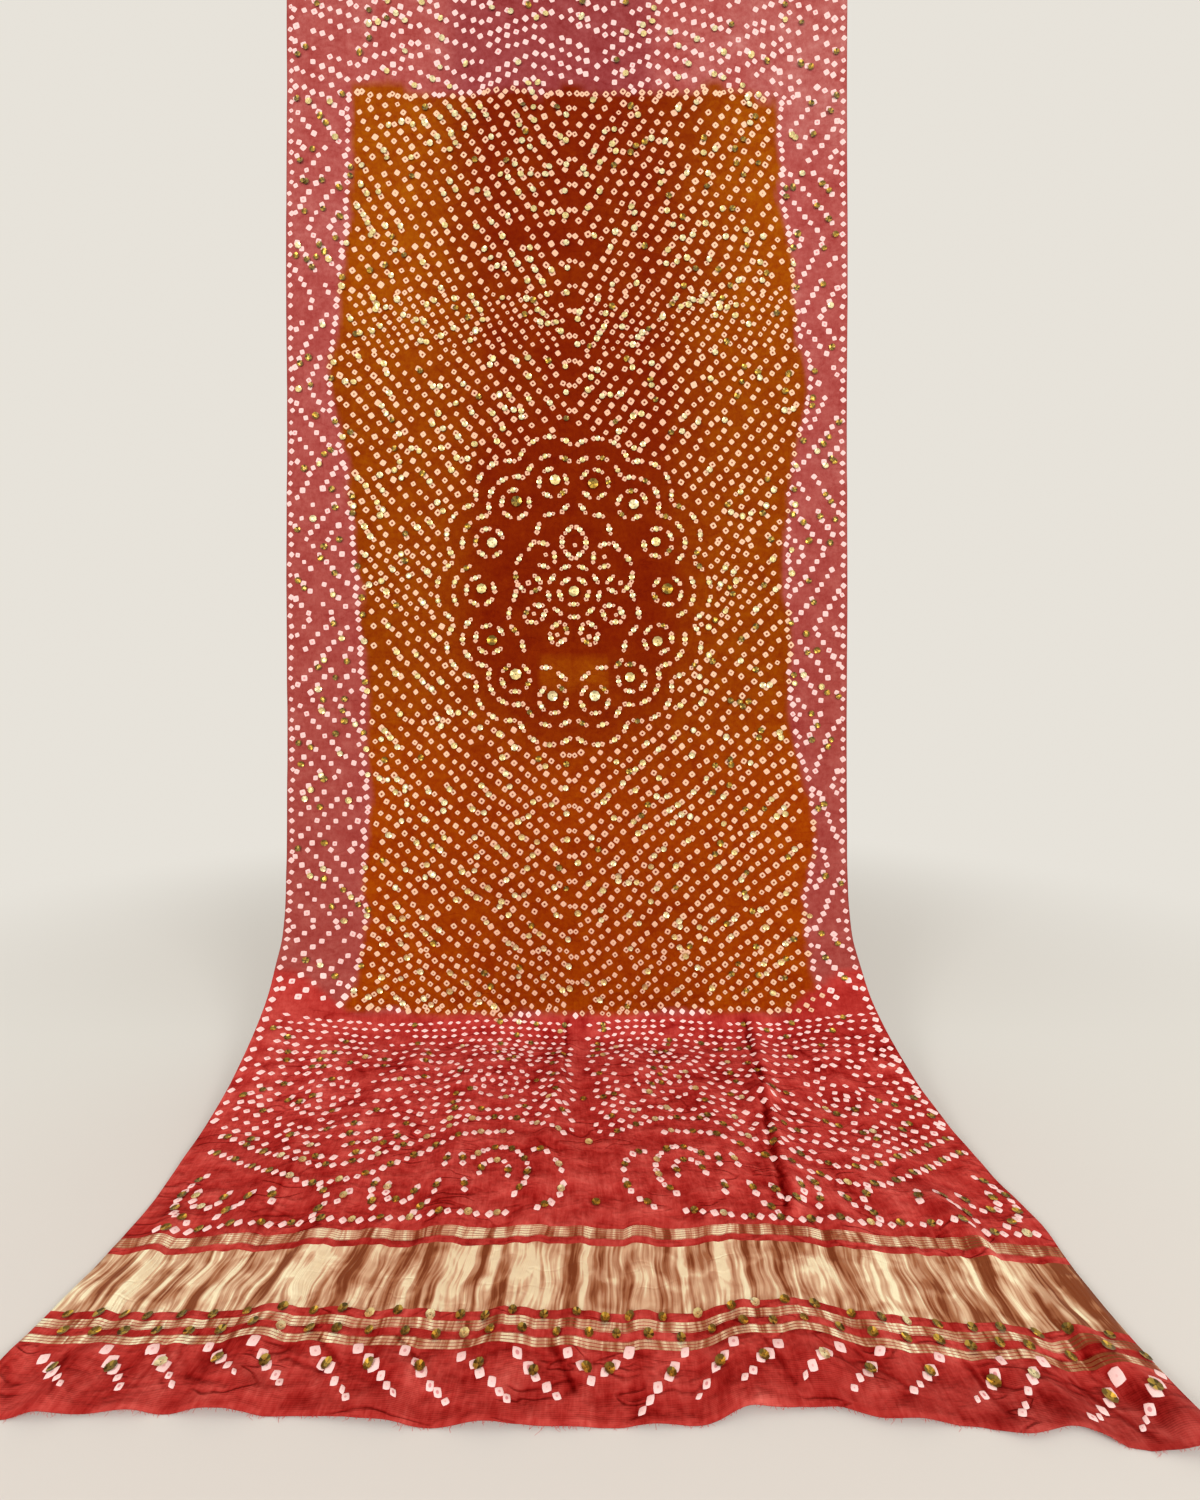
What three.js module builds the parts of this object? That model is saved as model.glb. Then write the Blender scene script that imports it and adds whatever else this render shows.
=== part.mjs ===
// A tie-dyed bandhani cloth, hung by its straight upper edge and let down onto a floor, where its end runs out
// towards the viewer. It is one woven piece: its hems and its gold-woven bands belong to it, so it is one solid.
//
// Millimetres. The origin is the middle of the hanging edge. +X is to the right and +Z is up; the cloth's face
// and its laid end are towards -Y.
//
// A place on the cloth is told by two numbers: "across", from -1 at the left selvedge to 1 at the right one,
// and "along", the distance from the hanging edge, measured down the middle of the cloth.

import * as THREE from "three";

// Driving sizes.
const clothWidth = 900;
const clothThickness = 1.5;
const hangHeight = 1830; // from the floor up to the hanging edge
const bendRadius = 55; // of the middle of the cloth, where it turns onto the floor
const laidReach = 498; // from the hanging plane forward to the middle of the front edge
const cheekPower = 2.5; // how closely the loose curve of the selvedges keeps to the sides

// The middle hangs straight down, turns through a quarter circle and lies straight forward.
const turnStart = hangHeight - bendRadius;
const turnLength = (bendRadius * Math.PI) / 2;
const floorStart = turnStart + turnLength;
const clothLength = floorStart + laidReach - bendRadius;

// The selvedges leave the hanging plane early and swing out to the floor in one long curve.
// height is above the floor, and forward is from the hanging plane.
const selvedgeSections = [
  { along: 0, height: 1830, forward: 0 },
  { along: 1540, height: 290, forward: 0 },
  { along: 1604, height: 228, forward: 4 },
  { along: 1683, height: 161, forward: 19 },
  { along: 1733, height: 125, forward: 42 },
  { along: 1781, height: 91, forward: 67 },
  { along: 1830, height: 64, forward: 99 },
  { along: 1877, height: 42, forward: 134 },
  { along: 1923, height: 24, forward: 170 },
  { along: 1968, height: 12.5, forward: 208 },
  { along: 2014, height: 5.5, forward: 247 },
  { along: 2058, height: 2, forward: 285 },
  { along: 2100, height: 0, forward: 321 },
  { along: 2151, height: 0, forward: 366 },
  { along: clothLength, height: 0, forward: 495 },
];

// The laid end drifts to the right, and its gold bands draw the cloth in a little.
const drift = [
  { along: 0, sideways: 0, halfWidth: 450 },
  { along: 1560, sideways: 0, halfWidth: 449 },
  { along: 1683, sideways: 2, halfWidth: 447 },
  { along: 1781, sideways: 7, halfWidth: 447 },
  { along: 1877, sideways: 15, halfWidth: 447 },
  { along: 1968, sideways: 24, halfWidth: 445 },
  { along: 2058, sideways: 33, halfWidth: 443 },
  { along: 2130, sideways: 41, halfWidth: 442 },
  { along: 2185, sideways: 38, halfWidth: 437 },
  { along: 2215, sideways: 36, halfWidth: 437 },
  { along: clothLength, sideways: 34, halfWidth: 440 },
];

// The front edge lies in shallow scallops: lead is how far it runs past a straight line.
const frontEdge = [
  { across: -1, lead: 0 },
  { across: -0.84, lead: -3 },
  { across: -0.66, lead: -6 },
  { across: -0.45, lead: -5 },
  { across: -0.2, lead: 1 },
  { across: 0.2, lead: 0 },
  { across: 0.3, lead: -8 },
  { across: 0.42, lead: -9 },
  { across: 0.5, lead: -2 },
  { across: 0.64, lead: 1 },
  { across: 0.72, lead: 7 },
  { across: 0.79, lead: 3 },
  { across: 0.87, lead: 14 },
  { across: 1, lead: 19 },
];
const scallopDepth = 190; // how far back from the front edge its scallops can be felt

// The cloth lies a little proud of the floor between its creases.
const floorLoft = 3;

// Soft waves: each crosses the cloth so many times across and along, and stands so high.
const hangingWaves = [
  { across: 3, along: 0.6, height: 2.4, turn: 0.15 },
  { across: 5, along: -1.1, height: 1.4, turn: 0.6 },
  { across: 1, along: 4.5, height: 1.2, turn: 0.35 },
];
const laidWaves = [
  { across: 9, along: 1.5, height: 1.3, turn: 0.1 },
  { across: 14, along: -2.5, height: 1, turn: 0.55 },
  { across: 4, along: 9, height: 0.8, turn: 0.3 },
];

// Main creases, each a straight trough (rise below 0) or ridge from one place on the cloth to another.
const creases = [
  { name: "middle ridge", fromAcross: -0.02, fromAlong: 1840, toAcross: -0.07, toAlong: 1985, halfWidth: 13, rise: 6 },
  { name: "middle ridge's end", fromAcross: -0.08, fromAlong: 2010, toAcross: -0.12, toAlong: 2110, halfWidth: 12, rise: 4 },
  { name: "long ridge", fromAcross: 0.63, fromAlong: 1800, toAcross: 0.55, toAlong: 1960, halfWidth: 15, rise: 9 },
  { name: "long ridge's end", fromAcross: 0.55, fromAlong: 1960, toAcross: 0.47, toAlong: 2120, halfWidth: 14, rise: 8 },
  { name: "left cheek ridge", fromAcross: -0.5, fromAlong: 1880, toAcross: -0.72, toAlong: 2080, halfWidth: 18, rise: 4 },
  { name: "corner ridge", fromAcross: 0.8, fromAlong: 2120, toAcross: 0.97, toAlong: 2290, halfWidth: 16, rise: 7 },
  { name: "left end ridge", fromAcross: -0.93, fromAlong: 2130, toAcross: -0.86, toAlong: 2290, halfWidth: 14, rise: 4 },
  { name: "pleat 1", fromAcross: -0.88, fromAlong: 2140, toAcross: -0.88, toAlong: 2250, halfWidth: 13, rise: -4 },
  { name: "pleat 2", fromAcross: -0.67, fromAlong: 2140, toAcross: -0.67, toAlong: 2260, halfWidth: 12, rise: -4 },
  { name: "pleat 3", fromAcross: -0.52, fromAlong: 2130, toAcross: -0.53, toAlong: 2280, halfWidth: 12, rise: -4 },
  { name: "pleat 4", fromAcross: -0.39, fromAlong: 2140, toAcross: -0.4, toAlong: 2250, halfWidth: 12, rise: -3 },
  { name: "pleat 5", fromAcross: -0.19, fromAlong: 2120, toAcross: -0.2, toAlong: 2240, halfWidth: 12, rise: -4 },
  { name: "pleat 6", fromAcross: -0.06, fromAlong: 2110, toAcross: -0.06, toAlong: 2260, halfWidth: 12, rise: -4 },
  { name: "pleat 7", fromAcross: 0.06, fromAlong: 2120, toAcross: 0.08, toAlong: 2290, halfWidth: 12, rise: -5 },
  { name: "pleat 8", fromAcross: 0.36, fromAlong: 2110, toAcross: 0.36, toAlong: 2250, halfWidth: 12, rise: -4 },
  { name: "pleat 9", fromAcross: 0.5, fromAlong: 2120, toAcross: 0.51, toAlong: 2270, halfWidth: 13, rise: -4 },
  { name: "pleat 10", fromAcross: 0.65, fromAlong: 2130, toAcross: 0.67, toAlong: 2280, halfWidth: 13, rise: -5 },
  { name: "pleat 11", fromAcross: 0.88, fromAlong: 2140, toAcross: 0.87, toAlong: 2300, halfWidth: 12, rise: -5 },
];

// The grid: cells across, and rows of cells in each stretch of the cloth, finer where it bends.
const cellsAcross = 46;
const stretches = [
  { from: 0, to: 1500, rows: 12 },
  { from: 1500, to: turnStart, rows: 9 },
  { from: turnStart, to: floorStart, rows: 6 },
  { from: floorStart, to: clothLength, rows: 23 },
];

// A column of a table, read between its rows along a smooth curve that never overshoots them.
function readTable(rows, key, column, at) {
  const last = rows.length - 1;
  if (at <= rows[0][key]) return rows[0][column];
  if (at >= rows[last][key]) return rows[last][column];
  const i = rows.findIndex((row) => row[key] > at) - 1;
  const step = (k) => rows[k + 1][key] - rows[k][key];
  const slope = (k) => (rows[k + 1][column] - rows[k][column]) / step(k);
  const tangent = (k) => {
    if (k === 0) return slope(0);
    if (k === last) return slope(last - 1);
    const before = slope(k - 1);
    const after = slope(k);
    return before * after <= 0 ? 0 : (2 * before * after) / (before + after);
  };
  const h = step(i);
  const t = (at - rows[i][key]) / h;
  const a = rows[i][column];
  const b = rows[i + 1][column];
  const rise = t * t * (3 - 2 * t);
  const bow = t * (1 - t);
  return a + (b - a) * rise + h * bow * (tangent(i) * (1 - t) - tangent(i + 1) * t);
}

// Height above the floor and distance forward of the middle of the cloth.
function middleSection(along) {
  if (along <= turnStart) return { height: hangHeight - along, forward: 0 };
  if (along >= floorStart) return { height: 0, forward: bendRadius + along - floorStart };
  const turned = (along - turnStart) / bendRadius;
  return { height: bendRadius * (1 - Math.sin(turned)), forward: bendRadius * (1 - Math.cos(turned)) };
}

// The height of a set of waves at one place.
function waveHeight(waves, across, along) {
  const turns = (w) => w.across * (across / 2) + w.along * (along / clothLength) + w.turn;
  return waves.reduce((sum, w) => sum + w.height * Math.cos(2 * Math.PI * turns(w)), 0);
}

// The height of the creases at one place: each falls off like a bell on both sides of its line.
function creaseHeight(across, along) {
  const half = clothWidth / 2;
  const place = new THREE.Vector2(across * half, along);
  return creases.reduce((sum, c) => {
    const from = new THREE.Vector2(c.fromAcross * half, c.fromAlong);
    const run = new THREE.Vector2(c.toAcross * half, c.toAlong).sub(from);
    const t = THREE.MathUtils.clamp(place.clone().sub(from).dot(run) / run.lengthSq(), 0, 1);
    const away = place.distanceTo(from.add(run.multiplyScalar(t))) / c.halfWidth;
    return sum + c.rise * Math.exp(-away * away);
  }, 0);
}

// The smooth run of the cloth, before its waves and creases are raised.
function smoothPoint(across, along) {
  const middle = middleSection(along);
  const cheek = Math.abs(across) ** cheekPower;
  const mix = (column) =>
    (1 - cheek) * middle[column] + cheek * readTable(selvedgeSections, "along", column, along);
  const scallop = THREE.MathUtils.smoothstep(along, clothLength - scallopDepth, clothLength);
  const forward = mix("forward") + scallop * readTable(frontEdge, "across", "lead", across);
  const sideways = readTable(drift, "along", "sideways", along);
  const halfWidth = readTable(drift, "along", "halfWidth", along);
  return new THREE.Vector3(sideways + across * halfWidth, -forward, mix("height") - hangHeight);
}

// The direction out of a surface's face at one place, from its slopes.
function faceNormal(surface, across, along) {
  const stepAcross = 0.002;
  const stepAlong = 1;
  const right = surface(across + stepAcross, along).sub(surface(across - stepAcross, along));
  const onwards = surface(across, along + stepAlong).sub(surface(across, along - stepAlong));
  return onwards.cross(right).normalize();
}

// The middle layer of the cloth with its waves and creases raised out of its face.
function clothPoint(across, along) {
  const laid = THREE.MathUtils.smoothstep(along, turnStart, floorStart + 60);
  const hung = THREE.MathUtils.smoothstep(along, 0, 300) * (1 - laid);
  const rise =
    hung * waveHeight(hangingWaves, across, along) +
    laid * (floorLoft + waveHeight(laidWaves, across, along)) +
    creaseHeight(across, along);
  const point = smoothPoint(across, along);
  point.addScaledVector(faceNormal(smoothPoint, across, along), rise);
  point.z = Math.max(point.z, clothThickness / 2 - hangHeight);
  return point;
}

// The sheet as one closed body: a front and a back skin, half the thickness either side, joined at the rim.
function clothGeometry() {
  const alongs = [0];
  for (const s of stretches)
    for (let i = 1; i <= s.rows; i += 1) alongs.push(s.from + ((s.to - s.from) * i) / s.rows);
  const perRow = cellsAcross + 1;
  const perSkin = perRow * alongs.length;
  const positions = [];
  for (const side of [1, -1])
    for (const along of alongs)
      for (let i = 0; i < perRow; i += 1) {
        const across = (2 * i) / cellsAcross - 1;
        const out = faceNormal(clothPoint, across, along).multiplyScalar((side * clothThickness) / 2);
        const point = clothPoint(across, along).add(out);
        point.z = Math.max(point.z, -hangHeight + (side > 0 ? clothThickness : 0));
        positions.push(...point);
      }

  const triangles = [];
  const quad = (a, b, c, d) => triangles.push(a, b, c, a, c, d);
  const front = (row, i) => row * perRow + i;
  const back = (row, i) => front(row, i) + perSkin;
  const lastRow = alongs.length - 1;
  for (let row = 0; row < lastRow; row += 1)
    for (let i = 0; i < cellsAcross; i += 1) {
      quad(front(row, i), front(row + 1, i), front(row + 1, i + 1), front(row, i + 1));
      quad(back(row, i), back(row, i + 1), back(row + 1, i + 1), back(row + 1, i));
    }
  for (let i = 0; i < cellsAcross; i += 1) {
    quad(front(0, i), front(0, i + 1), back(0, i + 1), back(0, i));
    quad(front(lastRow, i), back(lastRow, i), back(lastRow, i + 1), front(lastRow, i + 1));
  }
  for (let row = 0; row < lastRow; row += 1) {
    quad(front(row, 0), back(row, 0), back(row + 1, 0), front(row + 1, 0));
    quad(front(row, cellsAcross), front(row + 1, cellsAcross), back(row + 1, cellsAcross), back(row, cellsAcross));
  }

  const geometry = new THREE.BufferGeometry();
  geometry.setAttribute("position", new THREE.Float32BufferAttribute(positions, 3));
  geometry.setIndex(triangles);
  geometry.computeVertexNormals();
  return geometry;
}

const dyedSilk = new THREE.MeshStandardMaterial({ color: 0xb5451f, roughness: 0.7, metalness: 0 });

const cloth = new THREE.Mesh(clothGeometry(), dyedSilk);
cloth.name = "bandhani_cloth";

const bandhani = new THREE.Group();
bandhani.add(cloth);

export default bandhani;
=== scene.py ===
# %% [markdown]
# # A bandhani cloth, hung and laid
#
# A length of silk is pinched up into thousands of small points, each one bound tightly with thread, and the
# cloth is then dyed. Where the thread held, the silk stays undyed, and every point leaves a small pale
# lozenge that is a little puckered, with a speck of dye at its middle. This cloth has a pink ground, an
# orange field that was dyed again in rust down its middle, and a red end with gold-woven bands. Sequins are
# sewn on beside the dots.
#
# The cloth hangs by its upper edge and runs out over the floor, towards the viewer.
#
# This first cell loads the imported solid, which fixes the place and the size of everything below.

# %% Load the frame
import math

import bpy
import numpy as np
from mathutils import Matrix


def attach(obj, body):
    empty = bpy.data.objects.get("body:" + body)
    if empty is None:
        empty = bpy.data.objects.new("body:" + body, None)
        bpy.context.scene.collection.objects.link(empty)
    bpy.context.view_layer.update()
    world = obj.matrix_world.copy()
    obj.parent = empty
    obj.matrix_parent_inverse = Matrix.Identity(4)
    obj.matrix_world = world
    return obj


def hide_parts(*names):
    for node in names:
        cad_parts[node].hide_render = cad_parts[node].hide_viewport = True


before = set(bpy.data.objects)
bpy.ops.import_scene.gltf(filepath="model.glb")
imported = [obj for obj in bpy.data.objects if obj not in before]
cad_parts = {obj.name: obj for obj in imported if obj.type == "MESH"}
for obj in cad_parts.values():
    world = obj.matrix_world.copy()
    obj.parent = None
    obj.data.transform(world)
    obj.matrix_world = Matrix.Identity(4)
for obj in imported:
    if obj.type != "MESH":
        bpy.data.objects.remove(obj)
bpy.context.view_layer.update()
rng = np.random.default_rng(2304)
MM = 0.001

# %% [markdown]
# ## The camera
#
# A wide lens stands close to the front edge of the laid end, half a metre above the floor, and looks straight
# ahead. The laid end then spreads towards the viewer, and the hanging part stays square.

# %% Place the camera
camera_data = bpy.data.cameras.new("camera")
camera_data.lens = 13.13
camera_data.sensor_width = 36
camera_data.shift_y = -0.0133
camera_data.clip_start = 0.01
camera_data.dof.use_dof = False
camera = bpy.data.objects.new("camera", camera_data)
camera.location = (0.053, -0.879, -1.344)
camera.rotation_euler = (math.radians(90), 0, 0)
bpy.context.scene.collection.objects.link(camera)
bpy.context.scene.camera = camera
bpy.context.scene.view_settings.view_transform = "Standard"
print("camera", [round(v, 3) for v in camera.location])

# %% [markdown]
# ## The drape
#
# A place on the cloth is told by two numbers: "across", from -1 at the left selvedge to 1 at the right one,
# and "along", the distance in millimetres from the hanging edge down the middle of the cloth. The tables
# below are short, and each has named columns. Sizes are in millimetres until a mesh is made.
#
# The middle of the cloth hangs straight, turns through a quarter circle and lies straight. The selvedges
# leave the hanging plane higher up and swing out in one long curve, because the loose corners slide forward
# more easily.

# %% Sizes and tables of the drape
WIDTH = 900
HALF = WIDTH / 2
THICKNESS = 1.0
HANG_HEIGHT = 1830
BEND_RADIUS = 55
LAID_REACH = 498
CHEEK_POWER = 2.5
TURN_START = HANG_HEIGHT - BEND_RADIUS
FLOOR_START = TURN_START + BEND_RADIUS * math.pi / 2
LENGTH = FLOOR_START + LAID_REACH - BEND_RADIUS
SCALLOP_DEPTH = 190
HEM_START = 2250
FLOOR_LOFT = 3


def table(columns, rows):
    """Named columns as arrays, from rows of numbers."""
    return dict(zip(columns.split(), np.array(rows, float).T))


# The selvedges' curve: height above the floor, and distance forward of the hanging plane.
SELVEDGE = table(
    "along height forward",
    [
        (0, 1830, 0), (1540, 290, 0), (1604, 228, 4), (1683, 161, 19), (1733, 125, 42),
        (1781, 91, 67), (1830, 64, 99), (1877, 42, 134), (1923, 24, 170), (1968, 12.5, 208),
        (2014, 5.5, 247), (2058, 2, 285), (2100, 0, 321), (2151, 0, 366), (LENGTH, 0, 495),
    ],
)
# How far the middle moves to the right, and half the width that the cloth spans.
DRIFT = table(
    "along sideways half_width",
    [
        (0, 0, 450), (1560, 0, 449), (1683, 2, 447), (1781, 7, 447), (1877, 15, 447),
        (1968, 24, 445), (2058, 33, 443), (2130, 41, 442), (2185, 38, 437), (2215, 36, 437),
        (LENGTH, 34, 440),
    ],
)
# How far the front edge runs ahead of a straight line.
FRONT_EDGE = table(
    "across lead",
    [
        (-1, 0), (-0.84, -3), (-0.66, -6), (-0.45, -5), (-0.2, 1), (0.2, 0), (0.3, -8), (0.42, -9),
        (0.5, -2), (0.64, 1), (0.72, 7), (0.79, 3), (0.87, 14), (1, 19),
    ],
)
WAVE_COLUMNS = "across along height turn"
HANGING_WAVES = table(WAVE_COLUMNS, [(3, 0.6, 2.4, 0.15), (5, -1.1, 1.4, 0.6), (1, 4.5, 1.2, 0.35)])
LAID_WAVES = table(WAVE_COLUMNS, [(9, 1.5, 1.3, 0.1), (14, -2.5, 1, 0.55), (4, 9, 0.8, 0.3)])

# Each crease is a straight soft ridge, or a trough where its rise is below 0.
CREASES = table(
    "from_across from_along to_across to_along half_width rise",
    [
        (-0.02, 1840, -0.07, 1985, 13, 6),
        (-0.08, 2010, -0.12, 2110, 12, 4),
        (0.63, 1800, 0.55, 1960, 15, 9),
        (0.55, 1960, 0.47, 2120, 14, 8),
        (-0.5, 1880, -0.72, 2080, 18, 4),
        (0.8, 2120, 0.97, 2290, 16, 7),
        (-0.93, 2130, -0.86, 2290, 14, 4),
        (-0.88, 2140, -0.88, 2250, 13, -4),
        (-0.67, 2140, -0.67, 2260, 12, -4),
        (-0.52, 2130, -0.53, 2280, 12, -4),
        (-0.39, 2140, -0.4, 2250, 12, -3),
        (-0.19, 2120, -0.2, 2240, 12, -4),
        (-0.06, 2110, -0.06, 2260, 12, -4),
        (0.06, 2120, 0.08, 2290, 12, -5),
        (0.36, 2110, 0.36, 2250, 12, -4),
        (0.5, 2120, 0.51, 2270, 13, -4),
        (0.65, 2130, 0.67, 2280, 13, -5),
        (0.88, 2140, 0.87, 2300, 12, -5),
    ],
)
# Narrow wrinkles that only the cloth's own mesh is fine enough to hold.
WRINKLES = table(
    "from_across from_along to_across to_along half_width rise",
    [
        (-0.02, 1800, -0.035, 1925, 4.5, -3.6),
        (-0.1, 2040, -0.02, 2060, 6, 1.4),
        (0.6, 1815, 0.555, 1950, 4.5, -5),
        (0.535, 1965, 0.455, 2125, 4.5, -5.5),
        (0.42, 2080, 0.47, 2130, 5, 1.8),
        (0.71, 1850, 0.78, 1900, 6, 1.6),
        (-0.62, 1905, -0.5, 1890, 6, 1.4),
        (-0.3, 1960, -0.16, 1985, 6, 1.2),
        (0.2, 1990, 0.3, 1975, 6, 1.2),
        (-0.46, 2262, -0.42, 2290, 5, -2.4),
        (-0.74, 2256, -0.74, 2285, 4, -2.4),
        (-0.28, 2258, -0.24, 2268, 4, -2),
        (-0.34, 2272, -0.2, 2283, 6, 2),
        (-0.62, 2280, -0.5, 2292, 6, 2.2),
        (0.02, 2262, 0.05, 2300, 5, -2),
        (0.22, 2262, 0.26, 2292, 5, 1.8),
        (0.4, 2270, 0.52, 2285, 6, 2.2),
        (0.6, 2264, 0.63, 2295, 5, -2.4),
        (0.72, 2262, 0.8, 2280, 6, 2.4),
        (0.9, 2262, 0.93, 2296, 5, -2.4),
        (-0.9, 640, -0.3, 646, 7, 0.8),
        (-0.98, 712, -0.6, 705, 6, 0.9),
        (-0.6, 1112, -0.25, 1104, 5, 0.9),
        (0.3, 1096, 0.62, 1084, 5, 0.9),
        (-0.4, 1098, -0.2, 1101, 4, -0.8),
        (-0.95, 905, -0.7, 925, 8, 0.8),
        (-0.9, 1560, -0.5, 1548, 8, 0.9),
        (0.1, 1530, 0.7, 1545, 8, 0.8),
    ],
)
# Where the gold bands are drawn in, the cloth ripples: place across, depth and half width of each valley.
GOLD_VALLEYS = table(
    "across depth half_width",
    [
        (-0.97, 1.4, 7), (-0.877, 2.4, 7), (-0.82, 1.2, 5), (-0.758, 2.6, 7), (-0.669, 2.2, 6),
        (-0.623, 1.6, 5), (-0.57, 1.2, 5), (-0.518, 2.4, 7), (-0.46, 1.2, 5), (-0.39, 2, 6),
        (-0.33, 1, 5), (-0.26, 1.2, 5), (-0.193, 2.4, 6), (-0.126, 1.6, 5), (-0.06, 2.2, 6),
        (0.009, 1.6, 5), (0.068, 2.4, 6), (0.154, 1.8, 6), (0.22, 1, 5), (0.29, 1.4, 5),
        (0.358, 2.4, 6), (0.43, 1.2, 5), (0.5, 2.2, 6), (0.575, 1.2, 5), (0.651, 2.6, 7),
        (0.72, 1.4, 5), (0.8, 1.8, 6), (0.885, 2.4, 6), (0.95, 1.6, 5),
    ],
)
print("flat length", round(LENGTH, 1), "mm; turns from", TURN_START, "to", round(FLOOR_START, 1))

# %% [markdown]
# The functions that read the tables take whole arrays of places at once. The smooth run of the cloth comes
# first. Waves and creases are then raised out of its face, and last come the fine ripples that only silk has.

# %% Functions of the drape


def smoothstep(low, high, x):
    """0 below low, 1 above high, and t*t*(3 - 2t) between them, where t is the share of the way."""
    t = np.clip((x - low) / (high - low), 0, 1)
    return t * t * (3 - 2 * t)


def read_table(rows, key, column, at):
    """A column read between its rows along cubic pieces. Each row's slope is the harmonic mean of the
    slopes on its two sides, or 0 where they differ in sign, so that the curve never overshoots the rows."""
    keys = rows[key]
    values = rows[column]
    step = np.diff(keys)
    slope = np.diff(values) / step
    before = slope[:-1]
    after = slope[1:]
    total = before + after
    mean = 2 * before * after / np.where(total == 0, 1, total)
    tangent = np.concatenate([slope[:1], np.where(before * after > 0, mean, 0), slope[-1:]])
    i = np.clip(np.searchsorted(keys, at, side="right") - 1, 0, len(step) - 1)
    t = np.clip((at - keys[i]) / step[i], 0, 1)
    rise = t * t * (3 - 2 * t)
    bow = step[i] * t * (1 - t) * (tangent[i] * (1 - t) - tangent[i + 1] * t)
    return values[i] + (values[i + 1] - values[i]) * rise + bow


def middle_section(along):
    """Height above the floor and distance forward of the middle: a straight fall, a quarter circle of the
    bend radius, and a straight run."""
    turned = np.clip((along - TURN_START) / BEND_RADIUS, 0, math.pi / 2)
    height = np.maximum(TURN_START - along, 0) + BEND_RADIUS * (1 - np.sin(turned))
    forward = BEND_RADIUS * (1 - np.cos(turned)) + np.maximum(along - FLOOR_START, 0)
    return height, forward


def wave_height(waves, across, along):
    """The sum of cosines: each wave turns so many times over the width and over the length."""
    total = 0
    for a, b, height, turn in zip(*waves.values()):
        total = total + height * np.cos(2 * math.pi * (a * across / 2 + b * along / LENGTH + turn))
    return total


def crease_height(rows, across, along):
    """The sum of bells: a crease's rise times exp(-(distance to its line / half width) squared)."""
    x = across * HALF
    total = 0
    for from_x, from_y, to_x, to_y, half_width, rise in zip(*rows.values()):
        from_x = from_x * HALF
        run_x = to_x * HALF - from_x
        run_y = to_y - from_y
        t = np.clip(((x - from_x) * run_x + (along - from_y) * run_y) / (run_x**2 + run_y**2), 0, 1)
        away = np.hypot(x - from_x - t * run_x, along - from_y - t * run_y) / half_width
        total = total + rise * np.exp(-away * away)
    return total


def smooth_noise(x, y, seed):
    """A soft random surface from about -1 to 1 with one hill or hollow a unit: a seeded lattice of random
    numbers, blended between its four nearest corners with the weight t*t*(3 - 2t)."""
    lattice = np.random.default_rng(seed).uniform(-1, 1, (128, 128))
    i = np.floor(x).astype(int)
    j = np.floor(y).astype(int)
    s = smoothstep(0, 1, x - i)
    t = smoothstep(0, 1, y - j)
    low = lattice[i % 128, j % 128] * (1 - s) + lattice[(i + 1) % 128, j % 128] * s
    high = lattice[i % 128, (j + 1) % 128] * (1 - s) + lattice[(i + 1) % 128, (j + 1) % 128] * s
    return low * (1 - t) + high * t


def ridges(x, y, seed):
    """Sharp crests: 0.5 where the soft random surface passes 0, falling on both sides by its size."""
    return 0.5 - np.abs(smooth_noise(x, y, seed))


def smooth_point(across, along):
    """The smooth run: the middle section and the selvedge's, mixed by |across| to the cheek power."""
    cheek = np.abs(across) ** CHEEK_POWER
    height, forward = middle_section(along)
    height = (1 - cheek) * height + cheek * read_table(SELVEDGE, "along", "height", along)
    forward = (1 - cheek) * forward + cheek * read_table(SELVEDGE, "along", "forward", along)
    lead = read_table(FRONT_EDGE, "across", "lead", across)
    forward = forward + smoothstep(LENGTH - SCALLOP_DEPTH, LENGTH, along) * lead
    half_width = read_table(DRIFT, "along", "half_width", along)
    x = read_table(DRIFT, "along", "sideways", along) + across * half_width
    return np.stack([x, -forward, height - HANG_HEIGHT], -1)


def face_normal(surface, across, along):
    """The direction out of the face: the slope onwards crossed with the slope to the right."""
    across = np.clip(across, -0.998, 0.998)
    along = np.clip(along, 1, LENGTH - 1)
    right = surface(across + 0.002, along) - surface(across - 0.002, along)
    onwards = surface(across, along + 1) - surface(across, along - 1)
    out = np.cross(onwards, right)
    return out / np.linalg.norm(out, axis=-1, keepdims=True)


def silk_ripple(across, along):
    """Fine relief: long low swells on the hanging part, crinkles on the floor, and the valleys of the
    gold."""
    x = across * HALF
    laid = smoothstep(TURN_START - 60, FLOOR_START, along)
    swells = 0.5 * smooth_noise(x / 34, along / 60 + 7, 11) + 0.25 * smooth_noise(x / 15, along / 20, 12)
    crinkle = 0.8 * smooth_noise(x / 26 + along / 60, along / 24, 13)
    crinkle = crinkle + 0.25 * smooth_noise(x / 9, along / 16 + x / 40, 14)
    crinkle = crinkle + 1.1 * ridges(x / 60 + along / 70, along / 40, 19)
    hem = smoothstep(HEM_START, HEM_START + 25, along)
    crinkle = crinkle + hem * 1.7 * ridges(x / 40 - along / 40, along / 22 + x / 80, 15)
    bent = x + 3.5 * smooth_noise(x / 30, along / 24, 16)
    valleys = 0
    for place, depth, half_width in zip(*GOLD_VALLEYS.values()):
        valleys = valleys - depth * np.exp(-(((bent - place * HALF) / half_width) ** 2))
    valleys = valleys + 0.9 * smooth_noise(bent / 9, along / 90, 17)
    drawn_in = smoothstep(2140, 2172, along) * (1 - smoothstep(2226, 2262, along))
    fine = (1 - laid) * swells + laid * (1 - 0.7 * drawn_in) * crinkle
    return fine + drawn_in * valleys + crease_height(WRINKLES, across, along)


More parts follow.
